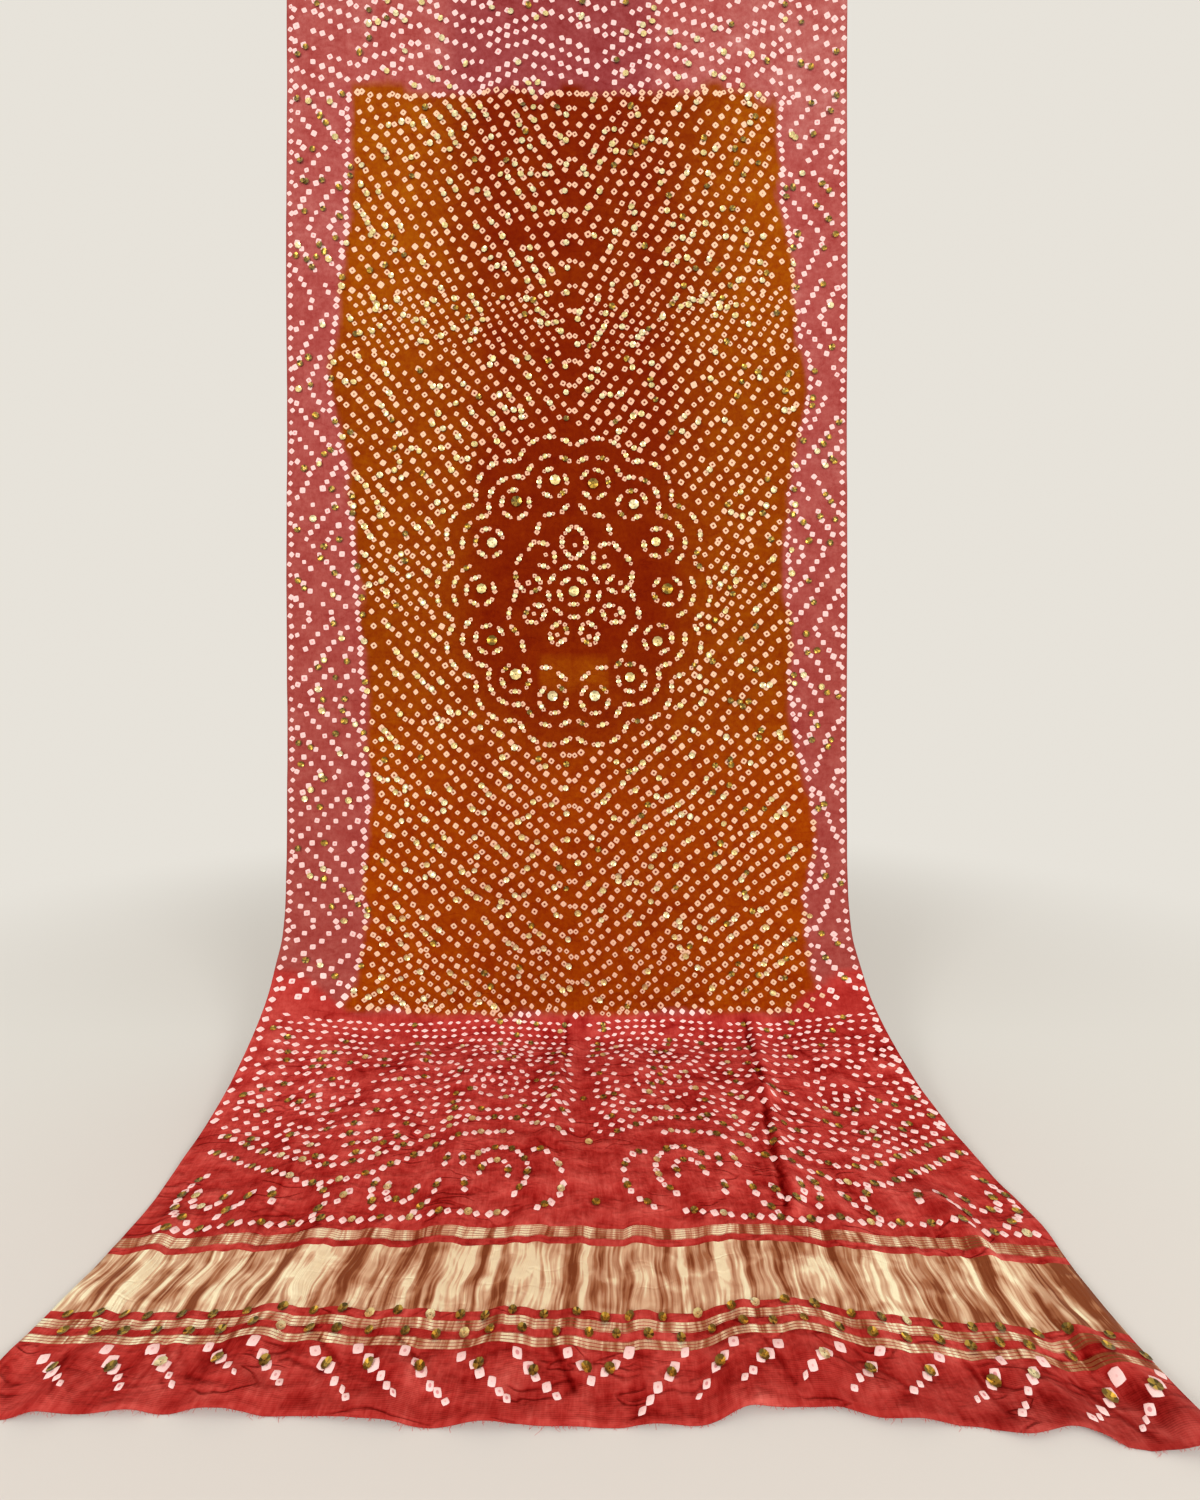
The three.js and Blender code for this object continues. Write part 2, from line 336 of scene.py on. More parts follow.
def cloth_point(across, along, ripple=0):
    """The smooth run with its waves, creases and ripples raised along its face, and kept off the floor."""
    laid = smoothstep(TURN_START, FLOOR_START + 60, along)
    hung = smoothstep(0, 300, along) * (1 - laid)
    rise = hung * wave_height(HANGING_WAVES, across, along)
    rise = rise + laid * (FLOOR_LOFT + wave_height(LAID_WAVES, across, along))
    rise = rise + crease_height(CREASES, across, along) + ripple * silk_ripple(across, along)
    point = smooth_point(across, along) + face_normal(smooth_point, across, along) * rise[..., None]
    lowest = 0.35 * THICKNESS * (1 + smooth_noise(across * 40, along / 12, 18))
    point[..., 2] = np.maximum(point[..., 2], THICKNESS / 2 - HANG_HEIGHT + ripple * lowest)
    return point


print("middle of the front edge:", cloth_point(np.array([0.0]), np.array([LENGTH])).round(1)[0], "mm")

# %% [markdown]
# ## The ground colours
#
# The cloth is dipped more than once. Pink comes first, over all of it. The field is dyed orange inside a
# bound edge, and the dye creeps a few millimetres past that edge in a soft, wavy line. Rust is worked down
# the middle of the field and into the medallion, and mauve above it. The red end goes into its own bath, up
# to the field's foot.
#
# The colours sit in a vertex attribute worked out from place alone, so that they stay with the silk in its
# folds.

# %% Dye the ground
PINK = (0.33, 0.064, 0.058)
PINK_PALE = (0.395, 0.120, 0.110)
PINK_LOW = (0.305, 0.056, 0.047)
MAUVE = (0.228, 0.035, 0.038)
ORANGE = (0.27, 0.053, 0.0006)
ORANGE_LOW = (0.285, 0.040, 0.0005)
ORANGE_DEEP = (0.21, 0.031, 0.0003)
RUST = (0.162, 0.0112, 0.0003)
RED = (0.45, 0.041, 0.034)
RED_DEEP = (0.375, 0.024, 0.019)
MEDALLION_AT = (11, 1121)
# The field's two sides, as places across.
FIELD = table(
    "along left right",
    [
        (250, -0.755, 0.74), (330, -0.77, 0.755), (470, -0.772, 0.76), (580, -0.79, 0.79),
        (700, -0.815, 0.815), (760, -0.84, 0.86), (820, -0.83, 0.855), (900, -0.79, 0.8),
        (980, -0.765, 0.785), (1100, -0.745, 0.78), (1290, -0.72, 0.79), (1370, -0.725, 0.82),
        (1460, -0.7, 0.865), (1530, -0.715, 0.87), (1620, -0.715, 0.835), (1720, -0.73, 0.84),
        (1790, -0.78, 0.86),
    ],
)
FIELD_TOP = 318
FIELD_FOOT = 1800
TOP_RISE_AT = -300
TOP_RISE_HALF = 60


def mix(a, b, t):
    """Colour a where t is 0 and b where it is 1."""
    return a + (np.asarray(b) - a) * t[..., None]


def top_rise(x):
    """Where the field's top edge rises on the left: exp(-(distance from its middle / half width) squared)."""
    return np.exp(-(((x - TOP_RISE_AT) / TOP_RISE_HALF) ** 2))


def plain_dye(colour, across):
    """One colour at every place."""
    return np.broadcast_to(np.array(colour), across.shape + (3,))


def inside_field(across, along, soft=5):
    """1 inside the orange field and 0 outside, with a wavy edge: the least of the four distances to its
    sides, moved by noise and softened over a few millimetres."""
    x = across * HALF
    wander = 8 * smooth_noise(x / 40, along / 40, 21) + 3 * smooth_noise(x / 9, along / 9, 22)
    from_left = x - HALF * read_table(FIELD, "along", "left", along)
    from_right = HALF * read_table(FIELD, "along", "right", along) - x
    hill = 9 * smooth_noise(x / 55, x / 300, 23)
    from_top = along - FIELD_TOP + hill + 20 * top_rise(x)
    from_foot = FIELD_FOOT - along + 0.5 * hill
    inside = np.minimum(np.minimum(from_left, from_right), np.minimum(from_top, from_foot)) + wander
    return smoothstep(-soft, soft, inside)


def ground_colour(across, along):
    """The dyes laid over each other in the order they were dipped, each weighed by where it reached. The red
    is then painted a little darker in the bend, as painted shade, and it is darker on the front strip, most
    towards the right.
    """
    x = across * HALF
    cloud = smooth_noise(x / 70, along / 90, 24) + 0.5 * smooth_noise(x / 25, along / 30, 25)
    colour = plain_dye(PINK, across)
    pale = (0.6 + 0.22 * across) * smoothstep(-0.4, 1.2, cloud)
    colour = mix(colour, PINK_PALE, pale * smoothstep(1500, 300, along))
    colour = mix(colour, PINK_LOW, smoothstep(500, 1300, along))
    middle = smoothstep(-0.48, -0.36, across) * smoothstep(0.36, 0.26, across)
    colour = mix(colour, MAUVE, 0.85 * middle * smoothstep(420, 330, along))
    lower = smoothstep(1150, 1500, along)
    rust = smoothstep(-0.62 - 0.1 * lower, -0.2, across) * smoothstep(0.72 + 0.2 * lower, 0.25, across)
    rust = np.clip(rust * (1 - 0.7 * lower) + 0.12 * cloud, 0, 1)
    orange = mix(plain_dye(ORANGE, across), ORANGE_LOW, lower)
    orange = mix(orange, RUST, rust)
    deep = smoothstep(600, 850, along) * smoothstep(1450, 1200, along)
    orange = mix(orange, ORANGE_DEEP, 0.75 * deep * (1 - rust))
    bloom_x = x - MEDALLION_AT[0]
    bloom_y = along - MEDALLION_AT[1]
    bloom = smoothstep(1.05, 0.85, np.hypot(bloom_x / 190, bloom_y / 250))
    orange = mix(orange, RUST, 0.55 * bloom * smoothstep(215, 150, np.abs(bloom_x)))
    patch = smoothstep(60, 50, np.abs(bloom_x)) * smoothstep(100, 114, bloom_y)
    patch = patch * smoothstep(166, 152, bloom_y)
    orange = mix(orange, ORANGE, 0.6 * patch)
    colour = mix(colour, orange, inside_field(across, along))
    end_edge = FIELD_FOOT + 6 * smooth_noise(x / 40, x / 300, 26)
    end_edge = end_edge - 60 * smoothstep(0.72, 0.95, np.abs(across))
    in_end = smoothstep(-7, 7, along - end_edge)
    red = mix(plain_dye(RED, across), RED_DEEP, np.clip(0.4 + 0.35 * cloud, 0, 1))
    # Painted shade: the red is a little darker where it turns through the bend. It is also darker on the
    # front strip, most towards the right.
    painted_bend_shade = smoothstep(1930, 1850, along)
    front = smoothstep(HEM_START, HEM_START + 35, along)
    right = smoothstep(0.35, 0.9, across)
    red = red * (1 - 0.05 * painted_bend_shade - front * (0.08 + 0.2 * right))[..., None]
    return np.clip(mix(colour, red, in_end), 0, 1)


print("ground colours ready")

# %% [markdown]
# ## The cloth's mesh
#
# The cloth is one grid, closer along the bend and the laid end than down the hanging part. Its face is the
# grid, and a solidify modifier gives it the thickness of silk behind. One map, "place", holds metres across
# and along, and the finish is worked out from it. The other map, "OFBake", gives the gold-woven end a
# larger share of its height, because the finest lines of the cloth are there.

# %% Weave the cloth
# How far forward the gold stripes are pushed, where the cloth is drawn in.
STRIPE_BOW = table(
    "across ahead",
    [
        (-1, -5), (-0.92, -4), (-0.8, 1), (-0.7, 2), (-0.57, 0), (-0.37, 3), (-0.2, 1), (-0.07, 0),
        (0.12, 4), (0.24, 3), (0.36, -3), (0.48, -3), (0.55, 4), (0.64, 3), (0.74, 4), (0.83, 6),
        (0.89, 0), (1, 2),
    ],
)
COLUMNS = 196
STRETCHES = table("start end rows", [(0, 1500, 96), (1500, 1775, 26), (1775, 1865, 16), (1865, LENGTH, 108)])


def grid_lines(stretches):
    """Row places: each stretch cut evenly into its number of rows."""
    parts = [np.linspace(a, b, int(n), endpoint=False) for a, b, n in zip(*stretches.values())]
    return np.append(np.concatenate(parts), stretches["end"][-1])


def new_mesh(name, points, faces, smooth=True):
    """A mesh object from an array of points and an array of faces, each with the same number of corners."""
    mesh = bpy.data.meshes.new(name)
    corners = faces.shape[1]
    mesh.vertices.add(len(points))
    mesh.vertices.foreach_set("co", np.ascontiguousarray(points, np.float32).ravel())
    mesh.loops.add(faces.size)
    mesh.loops.foreach_set("vertex_index", faces.ravel().astype(np.int32))
    mesh.polygons.add(len(faces))
    mesh.polygons.foreach_set("loop_start", np.arange(0, faces.size, corners, dtype=np.int32))
    mesh.polygons.foreach_set("use_smooth", np.full(len(faces), smooth))
    mesh.update(calc_edges=True)
    mesh.validate()
    thing = bpy.data.objects.new(name, mesh)
    bpy.context.scene.collection.objects.link(thing)
    return thing


def set_map(thing, name, uv):
    """A UV map from one pair of numbers for each vertex."""
    layer = thing.data.uv_layers.new(name=name)
    loops = np.empty(len(thing.data.loops), np.int32)
    thing.data.loops.foreach_get("vertex_index", loops)
    layer.data.foreach_set("uv", np.ascontiguousarray(uv[loops], np.float32).ravel())


def grid_faces(rows, columns):
    """Quads of a grid whose vertices run along each row in turn, facing out of the cloth's face."""
    corner = (np.arange(rows - 1)[:, None] * columns + np.arange(columns - 1)[None]).ravel()
    return np.stack([corner, corner + columns, corner + columns + 1, corner + 1], -1)


def stripe_bow(across, along):
    """How far forward the woven stripes are pushed where the cloth is drawn in: the table, only near the
    gold."""
    near = smoothstep(2070, 2140, along) * smoothstep(2304, 2262, along)
    return near * read_table(STRIPE_BOW, "across", "ahead", across)


row_along = grid_lines(STRETCHES)
column_across = np.linspace(-1, 1, COLUMNS + 1)
ACROSS, ALONG = np.meshgrid(column_across, row_along)


def rippled(across, along):
    """The finished middle layer of the cloth."""
    return cloth_point(across, along, ripple=1)


NORMALS = face_normal(rippled, ACROSS, ALONG)
FACE = rippled(ACROSS, ALONG) + NORMALS * THICKNESS / 2
FACE[..., 2] = np.maximum(FACE[..., 2], THICKNESS - HANG_HEIGHT)
cloth = new_mesh("cloth", FACE.reshape(-1, 3) * MM, grid_faces(*ACROSS.shape))
woven = ALONG - stripe_bow(ACROSS, ALONG)
place = np.stack([ACROSS * HALF * MM, woven * MM], -1).reshape(-1, 2)
baked_height = np.interp(ALONG, [0, 1790, 2140, LENGTH], [0.01, 0.5, 0.66, 0.99])
set_map(cloth, "place", place)
set_map(cloth, "OFBake", np.stack([0.5 + 0.49 * ACROSS, 1 - baked_height], -1).reshape(-1, 2))
dye = cloth.data.color_attributes.new("dye", "FLOAT_COLOR", "POINT")
rgba = np.ones(ACROSS.shape + (4,))
rgba[..., :3] = ground_colour(ACROSS, ALONG)
dye.data.foreach_set("color", rgba.astype(np.float32).ravel())
# The face's sideways lean, kept as an attribute only to paint light and shade onto the folds and the gold.
lean_for_painted_light = cloth.data.attributes.new("lean_for_painted_light", "FLOAT", "POINT")
lean_for_painted_light.data.foreach_set("value", NORMALS[..., 0].astype(np.float32).ravel())
thicken = cloth.modifiers.new("thickness", "SOLIDIFY")
thicken.thickness = THICKNESS * MM
thicken.offset = -1
thicken.use_even_offset = False
print("cloth:", len(cloth.data.polygons) * 4, "triangles on its two faces")

# %% [markdown]
# ## Where the dots were tied
#
# A tier works by eye along faint printed lines, so every row wavers a little. All places below are in flat
# millimetres: x from the middle of the cloth, and along from the hanging edge. A dot has a place, the turn
# of its long side, a length and a width. A "dash" is the commonest stitch of the cloth: a dot, a sequin and
# a dot.

# %% Dots, dashes and sequins as lists of arrays
DOT = 5.4
SEQUIN = 4.9
PATTERN_MIDDLE = 8
OUTERMOST = 437
dots = {"x": [], "y": [], "turn": [], "long": [], "wide": []}
sequins = {"x": [], "y": [], "size": [], "dark": []}


def jitter(count, spread):
    """Small random moves, most of them well inside the spread."""
    return np.clip(rng.normal(0, spread / 2, count), -spread, spread)


def as_arrays(*values):
    """The values as flat arrays of one length."""
    return [np.array(v, float).ravel() for v in np.broadcast_arrays(*values)]


def tie(x, y, turn=0.0, size=1.0, wander=1.0, long=1.0, wide=1.0, keep=None):
    """Adds a dot at each kept place, with a wavering place, turn and size."""
    x, y, turn = as_arrays(x, y, turn)
    if keep is not None:
        x, y, turn = x[keep], y[keep], turn[keep]
    count = x.size
    dots["x"].append(x + jitter(count, wander))
    dots["y"].append(y + jitter(count, wander))
    dots["turn"].append(turn + jitter(count, 0.35))
    scale = size * DOT * (1 + jitter(count, 0.18))
    dots["long"].append(scale * long)
    dots["wide"].append(scale * wide * (1 + jitter(count, 0.1)))


def sew(x, y, size=1.0, dark=0.0, wander=0.8):
    """Adds a sequin at each place. dark is the share of them that are dark olive."""
    x, y, dark = as_arrays(x, y, dark)
    count = x.size
    sequins["x"].append(x + jitter(count, wander))
    sequins["y"].append(y + jitter(count, wander))
    sequins["size"].append(np.full(count, SEQUIN * size) * (1 + jitter(count, 0.12)))
    sequins["dark"].append(dark)


def dark_sequin_share(x, y):
    """The share of dark sequins: few on the left and above, more to the right, the borders and the floor."""
    share = 0.12 + 0.3 * smoothstep(0, 350, x) + 0.45 * smoothstep(330, 380, np.abs(x))
    return np.clip(share + 0.6 * smoothstep(1780, 1900, y), 0, 0.88)


def dash(x, y, turn, size=1.0, reach=6.8, bead=0.94):
    """A dot, a sequin and a dot in line. turn is the direction of the dash."""
    x, y, turn = as_arrays(x, y, turn)
    for side in (-1, 1):
        tie(x + side * reach * np.cos(turn), y + side * reach * np.sin(turn), turn, 0.8 * size, 0.5, 1.06)
    sew(x, y, bead * size, dark_sequin_share(x, y), 0.6)


def line_turn(x, y):
    """The direction of a run of places, from one neighbour to the next."""
    return np.arctan2(np.gradient(y), np.gradient(x))


def even_steps(x, y, step, start=0.5):
    """Places a step apart along the polyline x, y, the first of them a share of a step in."""
    run = np.concatenate([[0], np.cumsum(np.hypot(np.diff(x), np.diff(y)))])
    count = max(int(run[-1] / step), 1)
    at = (np.arange(count) + start) * run[-1] / count
    return np.interp(at, run, x), np.interp(at, run, y), np.interp(at, run, np.unwrap(line_turn(x, y)))


def both_sides(draw):
    """Draws a half of the pattern twice, once on each side of its middle line."""
    for side in (-1, 1):
        draw(lambda x: PATTERN_MIDDLE + side * x, side)


def count_tied(title):
    """Prints how many dots and sequins there are by now."""
    print(title, sum(len(v) for v in dots["x"]), "dots,", sum(len(v) for v in sequins["x"]), "sequins")


print("a dot is", 2 * DOT, "mm over its corners")

# %% [markdown]
# ### The field
#
# The field's dots stand on a slanted net, mirrored at the middle line, so that its rows fall towards the
# middle from both sides, steeply near the top and less so further down. Where the two halves meet, pairs of
# dots run together. Three stretches of the net were tied closer, with smaller dots.

# %% Tie the field
NET_STEP = 16.4
NET_GAP = 21.8
NET_CORNER = math.radians(71)
MEDALLION_HALF = (150, 178)
MEDALLION_TURNS = (np.arange(7) + 0.5) * math.pi / 7
ROUNDEL_OUT = MEDALLION_HALF[0] * np.sin(MEDALLION_TURNS)
ROUNDEL_DOWN = -MEDALLION_HALF[1] * np.cos(MEDALLION_TURNS)
INNER_REACH = 43
OUTER_REACH = 52
OUTER_GROWTH = 1.12


def outside_medallion(x, y, gap):
    """Whether a place is a gap outside the medallion: outside an oval and each lobe of its outer line."""
    out = np.abs(x - MEDALLION_AT[0])[..., None]
    down = (y - MEDALLION_AT[1])[..., None]
    away = np.hypot(out - OUTER_GROWTH * ROUNDEL_OUT, down - OUTER_GROWTH * ROUNDEL_DOWN) - OUTER_REACH
    inside_oval = np.hypot(out / MEDALLION_HALF[0], down / MEDALLION_HALF[1])[..., 0] < 1.15
    return (away.min(-1) > gap) & ~inside_oval


def keep_in_field(x, y, gap=9):
    """Whether a place is well inside the field's sides and outside the medallion."""
    left = HALF * read_table(FIELD, "along", "left", y) + gap
    right = HALF * read_table(FIELD, "along", "right", y) - gap
    top = FIELD_TOP + 2
    return (x > left) & (x < right) & (y > top) & (y < FIELD_FOOT - 8) & outside_medallion(x, y, 9)


def net_places(scale, turn):
    """The corners of a slanted net: distance out from the middle line, distance along, place in the row and
    row. Rows fall inwards at the turn below level, and the second side of the net's mesh rises from the row
    at the net's corner angle."""
    i, j = (v.ravel() for v in np.meshgrid(np.arange(-220, 221), np.arange(-220, 221)))
    step = i * scale * NET_STEP
    gap = j * scale * NET_GAP
    rise = NET_CORNER - turn
    out = -step * math.cos(turn) - gap * math.cos(rise)
    return out, step * math.sin(turn) - gap * math.sin(rise), i, j


def tie_net(scale, turn, low, high, size, share):
    """Ties the part of a net between two places along, on both sides of the middle line. share is how
    many of the gaps between neighbours have a sequin sewn over them. Most of those gaps lie along a row."""

    def draw(mirror, side):
        """One side's half of the net."""
        out, along, i, j = net_places(scale, turn)
        near = (out > -20) & (out < HALF + 20) & (along > low - 40) & (along < high + 40)
        out, along, i, j = (v[near] for v in (out, along, i, j))
        moved = 4.5 * smooth_noise(out / 60 + side * 9, along / 60, 31)
        along = along + 4.5 * smooth_noise(out / 60, along / 60 + side * 9, 32)
        out = out + moved
        x = mirror(out)
        keep = (out > 10) & (along > low) & (along < high) & keep_in_field(x, along)
        keep &= rng.uniform(size=len(out)) > 0.02
        x, along, i, j = (v[keep] for v in (x, along, i, j))
        tie(x, along, 0, size, 2.2)
        across_rows = rng.uniform(size=len(x)) < 0.38
        other = np.where(across_rows, i * 1000 + j + 1, (i + 1) * 1000 + j)
        keys = i * 1000 + j
        order = np.argsort(keys)
        found = order[np.clip(np.searchsorted(keys[order], other), 0, len(keys) - 1)]
        some = (keys[found] == other) & (rng.uniform(size=len(x)) < share)
        mid_x = 0.5 * (x[some] + x[found[some]])
        mid_y = 0.5 * (along[some] + along[found[some]])
        sew(mid_x, mid_y, 1, dark_sequin_share(mid_x, mid_y), 3.2)

    both_sides(draw)


FIELD_NETS = table(
    "low high scale turn size share",
    [
        (FIELD_TOP, 640, 1, 58, 1, 0.3),
        (640, 735, 0.78, 54, 0.8, 0.24),
        (735, 1040, 1, 50, 0.98, 0.27),
        (1040, 1160, 0.86, 48, 0.86, 0.24),
        (1160, 1330, 1, 46, 0.95, 0.27),
        (1330, 1700, 0.97, 42, 0.98, 0.28),
        (1700, FIELD_FOOT, 0.84, 38, 0.88, 0.22),
    ],
)
for low, high, scale, turn, size, share in zip(*FIELD_NETS.values()):
    tie_net(scale, math.radians(turn), low, high, size, share)

PAIR_GAP = 40.5
pair_y = np.concatenate([np.arange(345, 860, PAIR_GAP), np.arange(1385, 1780, PAIR_GAP)])
for side in (-1, 1):
    tie(PATTERN_MIDDLE + side * 4.4, pair_y, 0, 0.9, 0.6)
sew(PATTERN_MIDDLE + 9 * np.sign(rng.normal(size=pair_y.size)), pair_y + 12, 1, 0.1, 3)
count_tied("field:")

# %% [markdown]
# ### The borders and the top
#
# Each side border is a set of parallel zig-zag lines that swing from the selvedge to the field and back, a
# column of dots down each of its edges, and a dark sequin in the open places. Above the field the rows
# cross the whole width, in a lower and looser zig-zag.

# %% Tie the borders and the top
ZIGZAG_PERIOD = 250
ZIGZAG_APEX = 545
ZIGZAG_STEP = 11.6
LINE_GAP = 34
BORDER_SPAN = (330, 1790)


def triangle_wave(t):
    """0 at whole numbers, 1 half way between them, and straight in between."""
    return 1 - np.abs(2 * (t - np.floor(t)) - 1)


def border_width(side, y):
    """From the selvedge to the field's edge at that side, with a margin for the edge's own column of dots."""
    edge = read_table(FIELD, "along", "left" if side < 0 else "right", y)
    return HALF * (1 - np.abs(edge)) - 9


def tie_border(side):
    """Zig-zag lines: distance in from the selvedge = border width * triangle wave of the place along, plus a
    whole number of line gaps. Only what falls between the selvedge and the field is tied."""
    y = np.arange(*BORDER_SPAN, ZIGZAG_STEP)
    inwards = border_width(side, y)
    shift = ZIGZAG_APEX + 10 * side
    swing = inwards * triangle_wave((y - shift) / ZIGZAG_PERIOD)
    for k in range(-3, 4):
        b = swing + LINE_GAP * k + 3 * smooth_noise(y / 40, y * 0 + k, 41 + side)
        keep = (b > 13) & (b < inwards - 6) & (rng.uniform(size=y.size) > 0.05)
        turn = np.arctan2(ZIGZAG_STEP, -side * np.gradient(b))
        stitched = keep & (rng.uniform(size=y.size) < 0.14)
        tie((side * (HALF - b))[keep], y[keep], turn[keep], 0.95, 1.8)
        near = side * (HALF - b[stitched]) + 3
        sew(near, y[stitched] + 6.5, 1, dark_sequin_share(near, y[stitched]))
        gap = swing + LINE_GAP * (k + 0.5)
        sparse = (gap > 16) & (gap < inwards - 12) & (rng.uniform(size=y.size) < 0.12)
        sew(side * (HALF - gap[sparse]), y[sparse], 1.05, 0.8, 3)
    down = np.arange(20, 1990, 16.5)
    tie(side * (HALF - 7), down, math.pi / 2, 0.85, 2.4)
    edge = np.arange(*BORDER_SPAN, 13.5)
    edge_x = side * (HALF - border_width(side, edge) - 4)
    tie(edge_x, edge, math.pi / 2, 0.95, 4)
    some = rng.uniform(size=edge.size) < 0.2
    sew(edge_x[some] + 6, edge[some] + 5, 1, 0.6, 3)


for side in (-1, 1):
    tie_border(side)


def tie_top():
    """Rows across the width: along = row * gap + height * triangle wave of x. Every few dots carry a
    sequin."""
    x = np.arange(-436, 437, 14.2)
    for row, start in enumerate(np.arange(-60, 345, 22.5)):
        y = start + 44 * triangle_wave(x / 196 + 0.06 * (row // 3))
        y = y + 5 * smooth_noise(x / 50, x * 0 + row, 44)
        top = np.where(np.abs(x) > 335, 330, FIELD_TOP - 4 - 14 * top_rise(x))
        keep = (y > 14) & (y < top) & (rng.uniform(size=x.size) > 0.1)
        tie(x[keep], y[keep], line_turn(x, y)[keep], 1.0, 2.6)
        some = keep & (rng.uniform(size=x.size) < 0.17)
        sew(x[some] + 5, y[some] + 6, 1, 0.2 + 0.5 * (np.abs(x[some]) > 330), 2.5)


tie_top()
foot_x = np.arange(-330, 372, 14.5)
for y, size, seed in ((FIELD_TOP + 4, 0.95, 45), (FIELD_FOOT - 4, 0.85, 46)):
    tie(foot_x, y + 4 * smooth_noise(foot_x / 30, foot_x * 0, seed), 0, size, 3)
count_tied("with the borders:")

# %% [markdown]
# ### The medallion
#
# The medallion is drawn in dashes. A large sequin is at its heart, inside two rings. Nine lotus petals open
# round them at even angles, and a wavy egg-shaped line closes them in. Fourteen roundels stand round it at
# even turns of an ellipse, each a large sequin in a ring of its own. One scalloped line follows the
# roundels closely, and a second one runs further out. A scalloped line is the outline of a row of
# overlapping circles.

# %% Tie the medallion
PETAL_TURNS = np.radians(np.arange(-4, 5) * 40)
PETAL_ROOT = 52
PETAL_TIP = 92
BELL_HALF = (98, 138)
taken = []


def place_dashes(x, y, turn, size, reach, room):
    """Dashes about the medallion's heart, without those nearer than room to one that is already there."""
    if taken:
        before = np.concatenate(taken)
        free = np.hypot(x[:, None] - before[:, 0], y[:, None] - before[:, 1]).min(1) > room
        x, y, turn = x[free], y[free], turn[free]
    taken.append(np.stack([x, y], -1))
    dash(MEDALLION_AT[0] + x, MEDALLION_AT[1] + y, turn, size, reach)


def draw_line(x, y, step=26, room=12):
    """Dashes in step along a line told about the medallion's heart, y downwards."""
    at_x, at_y, turn = even_steps(np.asarray(x, float), np.asarray(y, float), step)
    place_dashes(at_x, at_y, turn, 0.94, 6.8, room)


def ring(x, y, radius, count, start=0.0, whole=1.0, flat=1.0):
    """Dashes round a circle, or round a share of it. start is the angle of the first, from the right and
    downwards. flat is the ring's height as a share of its width."""
    angle = start + np.arange(count) * 2 * math.pi * whole / count
    turn = np.arctan2(flat * np.cos(angle), -np.sin(angle))
    place_dashes(x + radius * np.cos(angle), y + radius * flat * np.sin(angle), turn, 0.9, 6.1, 11)


def both_hands(column):
    """A column told for the right half, followed by its mirror for the left."""
    return np.concatenate([column, -column[::-1]])


def scallops(out, down, radius, inner):
    """The outline of equal circles on both sides: each circle's points that lie in no other circle, and
    outside the inner oval."""
    cx = both_hands(out)
    cy = np.concatenate([down, down[::-1]])
    angle = np.linspace(-math.pi, math.pi, 145)
    lines = []
    for x, y in zip(cx, cy):
        heading = math.atan2(y, x)
        px = x + radius * np.cos(heading + angle)
        py = y + radius * np.sin(heading + angle)
        depth = (np.hypot(px[:, None] - cx, py[:, None] - cy) - radius).min(1)
        free = (depth > -0.4) & (np.hypot(px / inner[0], py / inner[1]) > 1)
        lines.append((px[free], py[free]))
    return lines


def petal(turn, tip, half_width):
    """A pointed petal: two sides from root to tip. Each side's distance from the middle line is the half
    width times the sine of the way along, to the power 0.8."""
    t = np.linspace(0, 1, 40)
    c, s = math.sin(turn), -math.cos(turn)
    along = PETAL_ROOT + (tip - PETAL_ROOT) * t
    for hand in (-1, 1):
        side = hand * half_width * np.sin(math.pi * t) ** 0.8
        draw_line(along * c - side * s, along * s + side * c, 22)
    tie(MEDALLION_AT[0] + np.array([75 * c]), MEDALLION_AT[1] + np.array([75 * s]), 0.4, 0.8, 3)


for hand in (-1, 1):
    for out, down in zip(ROUNDEL_OUT, ROUNDEL_DOWN):
        opening = rng.uniform(0, 2 * math.pi)
        ring(hand * out, down, 22, 5, opening, 0.92)
        x = MEDALLION_AT[0] + hand * out + 4 * math.cos(opening - 0.9)
        sew(x, MEDALLION_AT[1] + down + 4 * math.sin(opening - 0.9), 1.7, 0.1, 2)
ring(0, 0, 23, 5, math.pi / 2, 1, 0.9)
ring(0, 0, 41, 9, math.pi / 2)
sew(*MEDALLION_AT, 1.7, 0, 0)
for growth, reach in ((1, INNER_REACH), (OUTER_GROWTH, OUTER_REACH)):
    oval = growth * np.array(MEDALLION_HALF)
    for x, y in scallops(growth * ROUNDEL_OUT, growth * ROUNDEL_DOWN, reach, oval):
        draw_line(x, y, 26, 17)
t = np.linspace(0.05, math.pi - 0.05, 160)
bell_wave = 1 + 0.05 * np.cos(10 * t)
bell_out = BELL_HALF[0] * np.sin(t) * (1 - 0.22 * np.cos(t)) * bell_wave
bell_down = -BELL_HALF[1] * np.cos(t) * bell_wave
for hand in (-1, 1):
    draw_line(hand * bell_out, bell_down, 28)
for turn in PETAL_TURNS:
    upright = math.cos(turn / 2) ** 8
    petal(turn, PETAL_TIP + 14 * upright, 13 + 6 * upright)
count_tied("with the medallion:")

# %% [markdown]
# ### The red end
#
# Just past the field the net goes on, tied closer. Then the rows wave, and each half has two whirls, rings
# of dots that push the rows apart. Nearest the gold are motifs in dashes: two waves, a tall bracket on each
# side of the middle line, a line that runs on from its foot, and a row of hooks with two short runs between
# each two.

